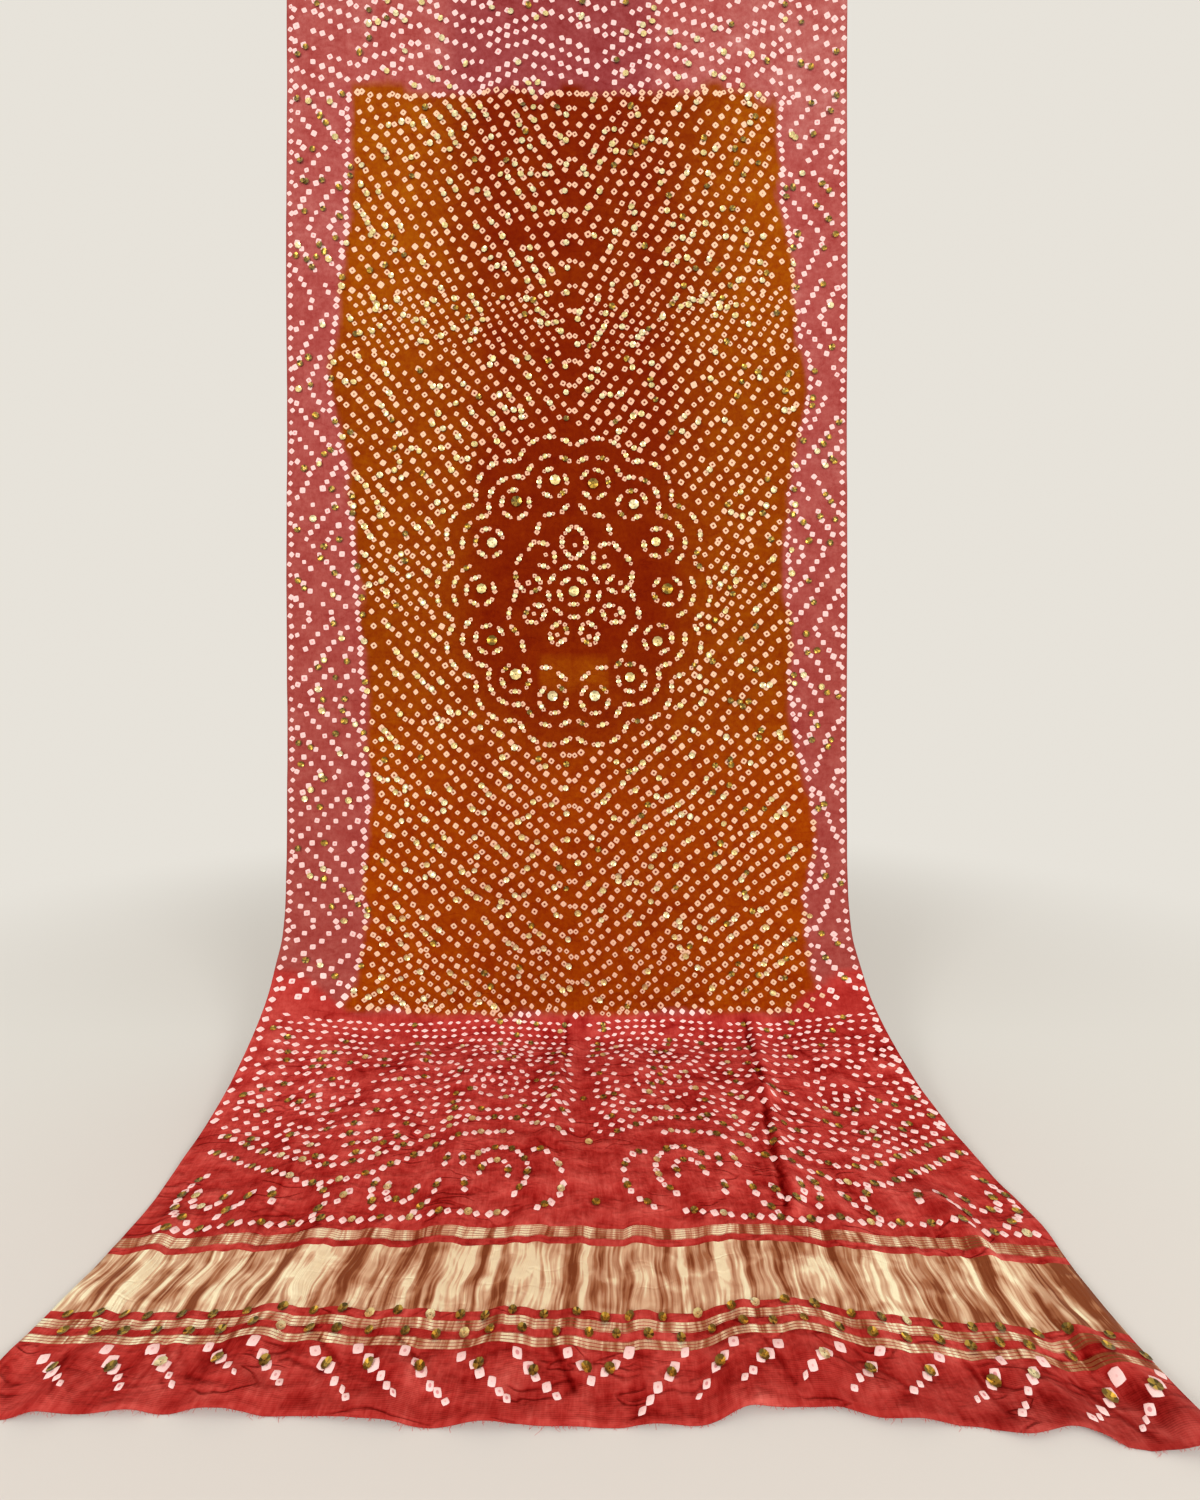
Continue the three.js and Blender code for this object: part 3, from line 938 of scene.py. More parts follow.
# %% Tie the red end
SWELL_HEIGHT = 34
SWELL_CREST = 292
SWELL_LENGTH = 356
WHIRLS_OUT = HALF * np.array([0.25, 0.75])
WHIRLS_ALONG = np.array([1932, 1952])
WHIRL_REACH = 47
WHIRL_FLATNESS = 0.85
RING_GAP = 14.6
BRACKET_AT = (72, 2096)
BRACKET_REACH = 38
LAST_LINE = 2141
ROWS_END = 2028
MOTIFS_END = 2146
SWELL_LINES = ((2036, 22), (2060, 88))
HOOK_GAP = 98
HOOKS_OUT = 106 + HOOK_GAP * np.arange(4)
END_ROWS = np.concatenate([[1813, 1823, 1834, 1846, 1859, 1873], np.arange(1888, 2030, 14.8)])
drawn_in_end = []


def dip(out):
    """The wave of the rows across one half: height * cosine of the distance from its crest."""
    return SWELL_HEIGHT * np.cos(2 * math.pi * (out - SWELL_CREST) / SWELL_LENGTH)


def swell(out, along):
    """How far a row is pushed forward: the wave, from a little at the field's foot to all of it at the
    motifs."""
    return dip(out) * (0.12 + 0.88 * smoothstep(1840, 2000, along))


def end_dashes(mirror, side, x, y, turn, room):
    """Dashes of one half, longer across than along, without those nearer than room to an earlier one."""
    free = (x < OUTERMOST + 1) & (y < MOTIFS_END)
    if drawn_in_end:
        before = np.concatenate(drawn_in_end)
        free &= np.hypot(x[:, None] - before[:, 0], y[:, None] - before[:, 1]).min(1) > room
    x, y, turn = x[free], y[free], turn[free]
    drawn_in_end.append(np.stack([x, y], -1))
    dash(mirror(x), y, side * turn, 0.95, 5.8 + 2.4 * np.abs(np.cos(turn)), 0.9)


def arc_dashes(mirror, side, x, y, radius, start, end, step):
    """Dashes along an arc. Its angles are in degrees, from the middle line's side and turning forward."""
    angle = np.radians(np.linspace(start, end, 60))
    line = even_steps(x - radius * np.cos(angle), y + radius * np.sin(angle), step)
    end_dashes(mirror, side, *line, 12)


def tie_motifs(mirror, side):
    """Two waves, a bracket open away from the middle line, the line that runs on from its foot, and four
    hooks. Each hook is one open ring in another. It fills the room between the second wave and the last
    line, and every second one is turned over. Where there is little room the hook is a single ring. Two
    short runs stand between hooks, spreading as they come forward."""
    x = np.linspace(22, 438, 200)
    for start, inner_end in SWELL_LINES:
        drawn = x > inner_end
        end_dashes(mirror, side, *even_steps(x[drawn], start + dip(x[drawn]), 27), 10)
    arc_dashes(mirror, side, *BRACKET_AT, BRACKET_REACH, -88, 82, 27)
    x = np.linspace(BRACKET_AT[0] + 14, 436, 60)
    end_dashes(mirror, side, *even_steps(x, LAST_LINE - 7 * np.exp(-(x - BRACKET_AT[0]) / 60), 29), 14)
    for n, out in enumerate(HOOKS_OUT):
        low = 2060 + dip(out)
        reach = min(34, 0.42 * (LAST_LINE - low))
        along = 0.5 * (LAST_LINE + low) + 3
        over = 180 * (n % 2)
        arc_dashes(mirror, side, out, along, reach, over - 150, over + 60, 19)
        if reach > 24:
            arc_dashes(mirror, side, out + 3, along, 0.45 * reach, over - 200, over + 40, 17)
        between = out + 0.5 * HOOK_GAP
        top = 2078 + dip(between)
        t = np.linspace(0, 1, 30)
        for lean in (-1, 1):
            run = even_steps(between + lean * (6 + 12 * t), top + (LAST_LINE - 18 - top) * t, 26)
            end_dashes(mirror, side, *run, 15)


def tie_end(mirror, side):
    """One half of the red end, told as distance out from the middle line and distance along."""
    drawn_in_end.clear()
    tie_motifs(mirror, side)
    for n, base in enumerate(END_ROWS):
        open_up = smoothstep(1805, 1890, base)
        out = np.arange(10 + rng.uniform(0, 13), OUTERMOST, 14.3)
        out = out + 3.5 * smooth_noise(out / 40, out * 0 + n / 2, 35 + side)
        along = base + swell(out, base)
        along = along + 4.2 * open_up * smooth_noise(out / 30, out * 0 + n / 2, 33 + side)
        for cx, cy in zip(WHIRLS_OUT, WHIRLS_ALONG):
            past = along - cy
            beside = np.exp(-(((out - cx) / WHIRL_REACH) ** 2) - (past / (1.5 * WHIRL_REACH)) ** 2)
            along = along + 0.5 * WHIRL_REACH * beside * past / (np.abs(past) + 10)
        down = (along[:, None] - WHIRLS_ALONG) / WHIRL_FLATNESS
        whirl = np.hypot(out[:, None] - WHIRLS_OUT, down) / WHIRL_REACH
        keep = (whirl.min(1) > 1.12) & (out > 9) & (out < OUTERMOST) & (rng.uniform(size=out.size) > 0.1)
        keep &= (along < ROWS_END + dip(out)) & (along > FIELD_FOOT + 6)
        turn = 0.6 * side * line_turn(out, along)
        tie(mirror(out), along, turn, 0.77, 1.4 + open_up, 1.14, 0.55 + 0.33 * open_up, keep)
        some = keep & (rng.uniform(size=out.size) < 0.13 + 0.1 * (base > 1950))
        sew(mirror(out[some] + 7), along[some] + 1.5, 0.85, 0.85, 1.8)
    for n, (cx, cy) in enumerate(zip(WHIRLS_OUT, WHIRLS_ALONG)):
        for radius in np.arange(9, WHIRL_REACH + 1, RING_GAP):
            angle = np.arange(0, 2 * math.pi - 6 / radius, 14.8 / radius) + n + 2.1 * radius
            px = cx + radius * np.cos(angle)
            py = cy + WHIRL_FLATNESS * radius * np.sin(angle)
            free = (rng.uniform(size=px.size) > 0.09) & (px < OUTERMOST)
            tie(mirror(px), py, side * (angle + math.pi / 2), 0.77, 2.6, 1.1, 0.9, free)
            some = free & (rng.uniform(size=px.size) < 0.18)
            sew(mirror(px[some] + 6), py[some] + 4, 0.85, 0.85, 2)


both_sides(tie_end)
sew(PATTERN_MIDDLE, np.array([1968, 2042, 2124]), 0.95, 0.6)
count_tied("with the end:")

# %% [markdown]
# ### Past the gold
#
# Between the gold stripes run two rows of sequins. The last strip of red has slanting rows of larger dots
# that point to the middle of the front edge, each row with one sequin sewn between its second and third
# dot.

# %% Tie the front strip
ROW_GAP = 40.5
ROW_PLACES = np.array([0, 14, 22.6, 34, 43, 51])
ROW_SEQUIN = 18.3
ROWS_ALONG = 2261
SEQUIN_ROWS = ((2231, -436), (2245, -424))
SEQUIN_GAP = 25.5


def tie_front(mirror, side):
    """Slanting rows: each starts a row gap further out, and runs towards the middle as it comes forward.
    The last dots of a row are narrow, where the cloth was crumpled as it was tied."""
    for n in range(11):
        out = 28 + 8 * side + ROW_GAP * n + rng.uniform(-6, 6)
        slope = math.radians(38 + rng.uniform(-6, 6))
        steps = ROW_PLACES[: 4 + rng.integers(0, 3)]
        x = out - steps * math.cos(slope)
        y = ROWS_ALONG + steps * math.sin(slope) + rng.uniform(-1.5, 1.5)
        keep = (x > 0) & (x < OUTERMOST) & (y < LENGTH - 4)
        narrow = np.where(steps > 36, rng.uniform(0.5, 0.9, len(steps)), rng.uniform(0.8, 1, len(steps)))
        size = np.where(steps > 30, 0.72, 0.94)[keep]
        tie(mirror(x[keep]), y[keep], -side * slope, size, 1.2, 1.08, narrow[keep])
        if out < 440:
            x = out - ROW_SEQUIN * math.cos(slope)
            sew(mirror(x), ROWS_ALONG + ROW_SEQUIN * math.sin(slope), 0.88, 0.85)


def joined(lists):
    """The lists as whole arrays, without what would stand past the cloth's edges."""
    whole = {name: np.concatenate(parts) for name, parts in lists.items()}
    inside = (np.abs(whole["x"]) < HALF - 3) & (whole["y"] > 4) & (whole["y"] < LENGTH - 3)
    return {name: column[inside] for name, column in whole.items()}


both_sides(tie_front)
for y, start in SEQUIN_ROWS:
    x = np.arange(start, 446, SEQUIN_GAP)
    x = x + 6 * smooth_noise(x / 60, y, 47)
    sew(x, y + stripe_bow(x / HALF, y), 0.82, 0.92, 1.8)
dots = joined(dots)
sequins = joined(sequins)
print("all:", len(dots["x"]), "dots,", len(sequins["x"]), "sequins")

# %% [markdown]
# ### Laying small pieces on the cloth
#
# A small flat shape is worked out once, in its own unit size. Every copy is then turned, sized and moved in
# flat millimetres, and each of its corners is looked up on the cloth's own grid, so it follows the folds
# exactly.

# %% Dots as puckered lozenges
ROUNDNESS = 1.18
CELL_FILL = 0.44
RUST_REACH = 165
UPPER_TO = 1150
LOWER_TO = 1795


def on_cloth(x, y, lift):
    """Points over the cloth: the four grid corners round each place and their normals, mixed by how near each
    is, and raised by lift along the normal."""
    across = np.clip(x / HALF, -1, 1)
    u = (across + 1) / 2 * COLUMNS
    v = np.interp(np.clip(y, 0, LENGTH), row_along, np.arange(len(row_along)))
    i = np.clip(u.astype(int), 0, COLUMNS - 1)
    j = np.clip(v.astype(int), 0, len(row_along) - 2)
    s = (u - i)[..., None]
    t = (v - j)[..., None]

    def mixed(grid):
        """The grid's four corners round each place, each weighed by its nearness."""
        near = grid[j, i] * (1 - s) + grid[j, i + 1] * s
        far = grid[j + 1, i] * (1 - s) + grid[j + 1, i + 1] * s
        return near * (1 - t) + far * t

    return mixed(FACE) + mixed(NORMALS) * lift[..., None]


def lozenge_template():
    """A rounded lozenge of unit size: eight rim points where the powers of |x| and |y| to the roundness add
    up to 1, eight on a raised shoulder inside them, and a sunken middle. Returns its points and
    triangles."""
    angle = np.arange(8) * math.pi / 4
    c, s = np.cos(angle), np.sin(angle)
    radius = (np.abs(c) ** ROUNDNESS + np.abs(s) ** ROUNDNESS) ** (-1 / ROUNDNESS)
    rim = np.stack([radius * c, radius * s, 0 * c], -1)
    shoulder = np.stack([0.68 * radius * c, 0.68 * radius * s, 0 * c + 1], -1)
    points = np.concatenate([rim, shoulder, [[0, 0, 0.35]]])
    n = np.arange(8)
    m = (n + 1) % 8
    outer = [np.stack([n, m, m + 8], -1), np.stack([n, m + 8, n + 8], -1)]
    return points, np.concatenate([*outer, np.stack([n + 8, m + 8, n * 0 + 16], -1)])


def repeat_faces(faces, count, corners):
    """The faces of joined copies of a shape. Each copy's corners are numbered on from the last one's."""
    return (faces[None] + np.arange(count)[:, None, None] * corners).reshape(-1, faces.shape[1])


def atlas(points, column, row):
    """Places in a map of four by four cells: each copy of a shape fills the middle of its own cell."""
    u = (column[:, None] + 0.5 + CELL_FILL * points[:, 0]) / 4
    v = (row[:, None] + 0.5 + CELL_FILL * points[:, 1]) / 4
    return np.stack([u, v], -1).reshape(-1, 2)


def ground_kind(x, y):
    """0 on pink, 1 on orange, 2 on rust and 3 on red: which tint a dot's rim and speck take."""
    inside = inside_field(x / HALF, y) > 0.5
    kind = np.where(inside, np.where(np.abs(x - PATTERN_MIDDLE) < RUST_REACH, 2, 1), 0)
    return np.where(~inside & (y > FIELD_FOOT - 60), 3, kind)


def make_dots(name, keep, side, relief):
    """Joined lozenges for the kept dots, on the face (side 1) or on the back (side -1)."""
    points, faces = lozenge_template()
    if side < 0:
        faces = faces[:, ::-1]
    x, y, turn, long, wide = (dots[key][keep][:, None] for key in ("x", "y", "turn", "long", "wide"))
    local_x = points[:, 0] * long
    local_y = points[:, 1] * wide
    flat_x = x + local_x * np.cos(turn) - local_y * np.sin(turn)
    flat_y = y + local_x * np.sin(turn) + local_y * np.cos(turn)
    height = 0.12 + relief * points[:, 2] + 0 * flat_x
    lift = height if side > 0 else -THICKNESS - height
    placed = on_cloth(flat_x, flat_y, lift)
    placed[..., 2] = np.maximum(placed[..., 2], 0.1 - HANG_HEIGHT)
    count = keep.sum()
    piece = new_mesh(name, placed.reshape(-1, 3) * MM, repeat_faces(faces, count, len(points)))
    kind = ground_kind(dots["x"][keep], dots["y"][keep])
    open_middle = np.where((kind == 1) | (kind == 2), 0.72, 0.25)
    row = np.where(rng.uniform(size=count) < open_middle, 2, 0) + rng.integers(0, 2, count)
    set_map(piece, "OFBake", atlas(points, kind, row))
    return piece


hanging = dots["y"] < UPPER_TO
middle = (dots["y"] >= UPPER_TO) & (dots["y"] < LOWER_TO)
laid = dots["y"] >= LOWER_TO
dot_pieces = [
    make_dots("dots_upper", hanging, 1, 0.3),
    make_dots("dots_lower", middle, 1, 0.3),
    make_dots("dots_laid", laid, 1, 0.5),
    make_dots("dots_upper_back", hanging, -1, 0.25),
    make_dots("dots_lower_back", middle, -1, 0.25),
    make_dots("dots_laid_back", laid, -1, 0.1),
]
print("dots:", sum(len(p.data.polygons) for p in dot_pieces), "triangles in", len(dot_pieces), "pieces")

# %% [markdown]
# ### Sequins
#
# A sequin is a thin metal disc pressed into a shallow cup with eight flat facets round a flat middle, and
# held by a thread through its hole. No two lie quite flat, so each is tilted a few degrees its own way.

# %% Sequins as faceted cups


def sequin_template():
    """A cup of unit size: eight points on its raised rim, eight at half its radius, and one in the middle.
    Each side of the rim has one flat facet, of two triangles, and the middle is nearly level."""
    rim_angle = np.arange(8) * math.pi / 4 + 0.2
    rim = np.stack([np.cos(rim_angle), np.sin(rim_angle), 0 * rim_angle + 0.16], -1)
    floor_ring = rim * (0.5, 0.5, 0)
    n = np.arange(8)
    m = (n + 1) % 8
    facets = [np.stack([n + 8, n, m], -1), np.stack([n + 8, m, m + 8], -1)]
    points = np.concatenate([rim, floor_ring, [[0, 0, 0.02]]])
    return points, np.concatenate([*facets, np.stack([n * 0 + 16, n + 8, m + 8], -1)])


def make_sequins(name):
    """Joined cups, each turned and tilted by chance: height = lift + cup + tan(tilt) * distance along the
    lean. They shade flat, so that their facets show, and each takes one cell of the map."""
    points, faces = sequin_template()
    count = len(sequins["x"])
    x, y, size = (sequins[key][:, None] for key in ("x", "y", "size"))
    turn = rng.uniform(0, 2 * math.pi, count)[:, None]
    laid = smoothstep(1780, 1880, y)
    tilt = np.radians(jitter(count, 16))[:, None] * (1 - 0.7 * laid)
    lean = rng.uniform(0, 2 * math.pi, count)[:, None]
    c, s = np.cos(turn), np.sin(turn)
    local_x = (points[:, 0] * c - points[:, 1] * s) * size
    local_y = (points[:, 0] * s + points[:, 1] * c) * size
    slope = np.tan(tilt) * (local_x * np.cos(lean) + local_y * np.sin(lean))
    lift = 0.95 - 0.3 * laid + 0.24 * size / SEQUIN + points[:, 2] * size + slope
    placed = on_cloth(x + local_x, y + local_y, np.maximum(lift, 0.2))
    faces = repeat_faces(faces, count, len(points))
    piece = new_mesh(name, placed.reshape(-1, 3) * MM, faces, smooth=False)
    dark = rng.uniform(size=count) < sequins["dark"]
    tone = np.where(dark, 2, 0) + rng.integers(0, 2, count)
    set_map(piece, "OFBake", atlas(points, tone, rng.integers(0, 4, count)))
    return piece


sequin_piece = make_sequins("sequins")
print("sequins:", len(sequin_piece.data.polygons), "triangles")

# %% [markdown]
# ### The frayed edge
#
# The front edge was torn, not hemmed, so its last weft threads have worked loose. Short threads stick out all
# along it: each is a narrow ribbon of two quads with a bend in it.

# %% Loose threads of the front edge


def make_fray(name, count):
    """Ribbons: a root on the edge, a knee half way and a tip, each moved sideways by a random lean."""
    root = rng.uniform(-HALF + 2, HALF - 2, count)
    length = 0.6 * rng.gamma(2.2, 1.0, count) + 0.6
    lean = rng.normal(0, 0.8, (count, 2))
    base = on_cloth(root, np.full(count, LENGTH - 1.0), np.full(count, -0.4))
    edge = on_cloth(root, np.full(count, LENGTH), np.full(count, -0.4))
    ahead = (edge - base) / np.linalg.norm(edge - base, axis=-1, keepdims=True)
    sideways = np.array([1.0, 0, 0])
    knee = base + ahead * (1 + 0.5 * length)[:, None] + sideways * (0.35 * lean[:, :1] * length[:, None])
    tip = base + ahead * (1 + 0.85 * length)[:, None] + sideways * (lean[:, 1:] * 0.6 * length[:, None])
    knee[:, 2] += rng.uniform(0, 0.8, count)
    half = sideways * 0.16
    points = np.stack([base - half, base + half, knee - half, knee + half, tip - half, tip + half], 1)
    points[..., 2] = np.maximum(points[..., 2], 0.4 - HANG_HEIGHT)
    quads = np.array([[0, 1, 3, 2], [2, 3, 5, 4]])
    return new_mesh(name, points.reshape(-1, 3) * MM, repeat_faces(quads, count, 6))


fray = make_fray("fray", 420)
print("fray:", len(fray.data.polygons), "quads")

# %% [markdown]
# ## Finishes
#
# Four finishes are enough: the dyed silk with its gold weave, the undyed silk of the dots, the metal of the
# sequins, and plain red silk for the loose threads. A small class lets what nodes give out be added and
# multiplied like numbers, so that each finish reads as a formula.

# %% Helpers for finishes


class Value:
    """What a node gives out. Adding, subtracting, multiplying and comparing values makes the nodes for it."""

    def __init__(self, socket):
        """The socket that gives the value out."""
        self.socket = socket

    def __add__(self, other):
        """self + other."""
        return calc(self.socket.id_data, "ADD", self, other)

    def __sub__(self, other):
        """self - other."""
        return calc(self.socket.id_data, "SUBTRACT", self, other)

    def __rsub__(self, other):
        """other - self, where other is a number."""
        return calc(self.socket.id_data, "SUBTRACT", other, self)

    def __mul__(self, other):
        """self * other."""
        return calc(self.socket.id_data, "MULTIPLY", self, other)

    def __gt__(self, other):
        """1 where self is more than other, and 0 elsewhere."""
        return calc(self.socket.id_data, "GREATER_THAN", self, other)

    def __lt__(self, other):
        """1 where self is less than other, and 0 elsewhere."""
        return calc(self.socket.id_data, "LESS_THAN", self, other)

    __radd__ = __add__
    __rmul__ = __mul__


def feed(socket, value):
    """Joins a value to a socket, or sets the socket to a number, a colour or a vector."""
    if isinstance(value, Value):
        socket.id_data.links.new(value.socket, socket)
    else:
        socket.default_value = value


def new_material(name):
    """An empty node material, with its surface node joined to the output."""
    material = bpy.data.materials.new(name)
    material.use_nodes = True
    tree = material.node_tree
    tree.nodes.clear()
    output = tree.nodes.new("ShaderNodeOutputMaterial")
    surface = tree.nodes.new("ShaderNodeBsdfPrincipled")
    tree.links.new(surface.outputs["BSDF"], output.inputs["Surface"])
    return material, tree, surface


def add(tree, kind, settings=None, out=0, **inputs):
    """A node of a kind, and what it gives out at its output number out. settings go on the node, and inputs
    are told by name, or as in0, in1."""
    made = tree.nodes.new("ShaderNode" + kind)
    for key, value in (settings or {}).items():
        setattr(made, key, value)
    for key, value in inputs.items():
        numbered = key[:2] == "in" and key[2:].isdigit()
        feed(made.inputs[int(key[2:])] if numbered else made.inputs[key], value)
    return Value(made.outputs[out])


def calc(tree, operation, a, b=0.0):
    """One step of arithmetic on a and b."""
    return add(tree, "Math", {"operation": operation}, in0=a, in1=b)


def vector(tree, operation, out=0, **inputs):
    """One step of arithmetic on directions or places."""
    return add(tree, "VectorMath", {"operation": operation}, out, **inputs)


def split(tree, whole):
    """The three parts of a place."""
    made = tree.nodes.new("ShaderNodeSeparateXYZ")
    feed(made.inputs[0], whole)
    return [Value(part) for part in made.outputs]


def step_up(tree, value, low, high, kind="LINEAR"):
    """0 below low and 1 above high, with a straight or a smooth rise between them."""
    return add(tree, "MapRange", {"interpolation_type": kind}, in0=value, in1=low, in2=high)


def noise(tree, where, scale, detail, **settings):
    """A soft random value from 0 to 1, with about scale hills to each unit of the place."""
    return add(tree, "TexNoise", Vector=where, Scale=scale, Detail=detail, **settings)


def drawn_noise(tree, where, scale, detail, turn=0.0, **settings):
    """Noise with one scale across and one along, and with its grain turned a little."""
    placed = add(tree, "Mapping", Vector=where, Rotation=(0.0, 0.0, turn), Scale=(*scale, 1.0))
    return noise(tree, placed, 1.0, detail, **settings)


def blend_colour(tree, factor, a, b, kind="MIX"):
    """Colour a mixed towards b."""
    settings = {"data_type": "RGBA", "blend_type": kind}
    return add(tree, "Mix", settings, 2, in0=factor, in6=a, in7=b)


def ramp(tree, factor, stops, kind="LINEAR"):
    """Colours at places from 0 to 1."""
    made = tree.nodes.new("ShaderNodeValToRGB")
    made.color_ramp.interpolation = kind
    elements = made.color_ramp.elements
    while len(elements) < len(stops):
        elements.new(0.5)
    for element, (position, colour) in zip(elements, stops):
        element.position = position
        element.color = (*colour, 1)
    feed(made.inputs[0], factor)
    return Value(made.outputs[0])


def wave(tree, value, period):
    """A sine from 0 to 1 with the given period."""
    return 0.5 + 0.5 * calc(tree, "SINE", value * (2 * math.pi / period))


def raise_finish(tree, surface, height, strength, distance):
    """Shades a finish as if it stood up by the height."""
    feed(surface.inputs["Normal"], add(tree, "Bump", Strength=strength, Distance=distance, Height=height))


print("helpers ready")

# %% [markdown]
# ### Dyed silk
#
# The dyed silk is nearly matt. Its ground colour is the dye attribute, lighter or darker by several noises
# and by the creases.
# Part of this varies at random with the slubs and mottle, and the rest is painted light and shade: darker in
# the hollows of crinkles, crepe, pressed veins and creases, and lighter or darker on the folds by how they
# lean. The gold is woven in. Four groups of stripes are picked out by how far along they are, and the narrow
# ones are cut into single threads by a sine. The gold's long streaks of light and copper shade are painted
# reflection too. They follow the folds. The relief adds crinkles, the grain of the weave and the folds of the
# gold.

# %% Finish the silk
GOLD_GROUPS = table("start end", [(2151, 2162), (2169, 2227.5), (2234.5, 2242), (2248, 2255)])
SOLID_GOLD = (2168, 2230)
GOLD_THREAD = 2.35
# Painted reflection: the gold's colours from copper shade to cream highlight, by how much light it seems to
# throw back.
GOLD_PAINTED_REFLECTION = [
    (0.33, (0.24, 0.065, 0.024)),
    (0.42, (0.43, 0.18, 0.085)),
    (0.50, (0.61, 0.35, 0.21)),
    (0.58, (0.80, 0.56, 0.36)),
    (0.67, (1.0, 0.93, 0.64)),
]
WEFT = 1.1
WARP = 0.9
# Pressed-in crease lines, too narrow for the mesh: their ends, half width and strength. Each is bumped in and
# painted darker, as painted shade in the crease.
CREASE_LINES = table(
    "from_across from_along to_across to_along half_width strength",
    [
        (0.6, 1812, 0.55, 1955, 3.2, 1.0),
        (0.54, 1958, 0.455, 2128, 3.4, 1.1),
        (0.455, 2128, 0.42, 2152, 3, 0.6),
        (-0.02, 1806, -0.04, 1930, 2.6, 0.9),
        (-0.045, 1960, -0.09, 2070, 2.6, 0.5),
        (0.71, 1850, 0.79, 1905, 2.4, 0.6),
        (-0.62, 1905, -0.5, 1890, 2.2, 0.4),
        (-0.73, 2040, -0.72, 2150, 2.4, 0.7),
        (-0.7, 2246, -0.7, 2282, 2.2, 1.0),
        (-0.47, 2250, -0.41, 2270, 2.2, 0.9),
        (-0.52, 2268, -0.43, 2273, 1.8, 0.8),
        (-0.33, 2246, -0.28, 2262, 2, 0.9),
        (-0.66, 2281, -0.58, 2290, 2, 0.7),
        (-0.04, 2255, 0, 2284, 2.2, 0.9),
        (0.1, 2288, 0.22, 2280, 2, 0.7),
        (0.34, 2258, 0.37, 2290, 2.2, 0.9),
        (0.5, 2262, 0.56, 2284, 2.2, 0.8),
        (0.68, 2256, 0.7, 2294, 2.4, 1.0),
        (0.84, 2262, 0.9, 2296, 2.4, 0.9),
        (-0.9, 2262, -0.86, 2292, 2.2, 0.7),
    ],
)


def crease_lines(tree, where, rows):
    """The sum of bells across straight lines: strength * exp(-(distance / half width) squared)."""
    total = 0.0
    for from_x, from_y, to_x, to_y, half_width, strength in zip(*rows.values()):
        start = np.array([from_x * HALF, from_y, 0]) * MM
        run = np.array([to_x * HALF, to_y, 0]) * MM - start
        offset = vector(tree, "SUBTRACT", in0=where, in1=tuple(start))
        share = vector(tree, "DOT_PRODUCT", 1, in0=offset, in1=tuple(run / np.dot(run, run)))
        share = add(tree, "Math", {"operation": "MULTIPLY", "use_clamp": True}, in0=share, in1=1.0)
        nearest = vector(tree, "SCALE", in0=tuple(run), Scale=share)
        away = vector(tree, "DISTANCE", 1, in0=offset, in1=nearest) * float(1 / (half_width * MM))
        total = total + calc(tree, "EXPONENT", away * away * -1.0) * float(strength)
    return total


def silk_ground(tree, where, laid, creased):
    """The dye times its tone, and the relief of its crinkles. The tone varies at random by a soft cloud,
    slubs and mottle, and is also painted light and shade: darker in the hollows of crinkles, crepe, pressed
    veins and creases, lighter and darker on the folds and by the face's sideways lean. It is also darker
    overall on the laid part. Green and blue take the tone to a power, so that the painted shade is a deeper
    red.
    """
    dyed = add(tree, "Attribute", {"attribute_name": "dye"})
    painted_lean_light = add(tree, "Attribute", {"attribute_name": "lean_for_painted_light"}, 2)
    cloud = noise(tree, where, 26.0, 4.0, Roughness=0.6)
    mottle = noise(tree, where, 150.0, 3.0)
    slub = drawn_noise(tree, where, (900.0, 260.0), 2.0)
    crepe = drawn_noise(tree, where, (270.0, 52.0), 2.0, Roughness=0.6, Distortion=0.4)
    crinkle = noise(tree, where, 42.0, 3.0, Roughness=0.5, Distortion=0.2)
    folds = drawn_noise(tree, where, (24.0, 46.0), 3.0, 0.2, Roughness=0.55, Distortion=0.25)
    vein = drawn_noise(tree, where, (16.0, 44.0), 2.0, 0.3, Roughness=0.4, Distortion=0.3)
    in_vein = 1.0 - step_up(tree, calc(tree, "ABSOLUTE", vein - 0.5), 0.0, 0.032, "SMOOTHSTEP")
    seldom = noise(tree, where, 17.0, 0.0)
    pressed = in_vein * step_up(tree, seldom, 0.46, 0.62, "SMOOTHSTEP") * (0.25 + 0.75 * laid)

    # Painted light and shade: the crepe, folds, crinkle, pressed and creased terms and the face's lean paint
    # the relief's shading into the colour.
    tone = 0.34 + 0.52 * cloud + 0.24 * slub + 0.4 * mottle - 0.17 * laid
    tone = tone + crepe * (0.14 + 0.42 * laid) + (folds - 0.5) * (0.2 + 1.1 * laid)
    tone = tone + (crinkle - 0.5) * (0.25 + 0.5 * laid) - 0.24 * pressed - 0.34 * creased
    tone = calc(tree, "MAXIMUM", tone + 0.5 * painted_lean_light * laid, 0.3)
    strong = calc(tree, "POWER", tone, 2.7)
    shade = add(tree, "CombineColor", Red=tone, Green=strong, Blue=strong)
    relief = crinkle * (0.5 + 0.5 * laid) + 0.05 * slub + crepe * (0.06 + 0.16 * laid)
    relief = relief + folds * (0.3 + 2.2 * laid) - 0.4 * pressed
    return blend_colour(tree, 1.0, dyed, shade, "MULTIPLY"), relief, painted_lean_light


def gold_mask(tree, where, along):
    """1 on the gold and 0 on the ground: inside a group, and in the solid band or on a thread of the sine."""
    wander = noise(tree, where, 40.0, 1.0)
    at = along + 0.0022 * (wander - 0.5)
    grouped = 0.0
    for start, end in zip(*GOLD_GROUPS.values()):
        grouped = grouped + (at > float(start * MM)) * (at < float(end * MM))
    solid = (at > SOLID_GOLD[0] * MM) * (at < SOLID_GOLD[1] * MM)
    return grouped * calc(tree, "MAXIMUM", solid, wave(tree, at, GOLD_THREAD * MM) > 0.1)


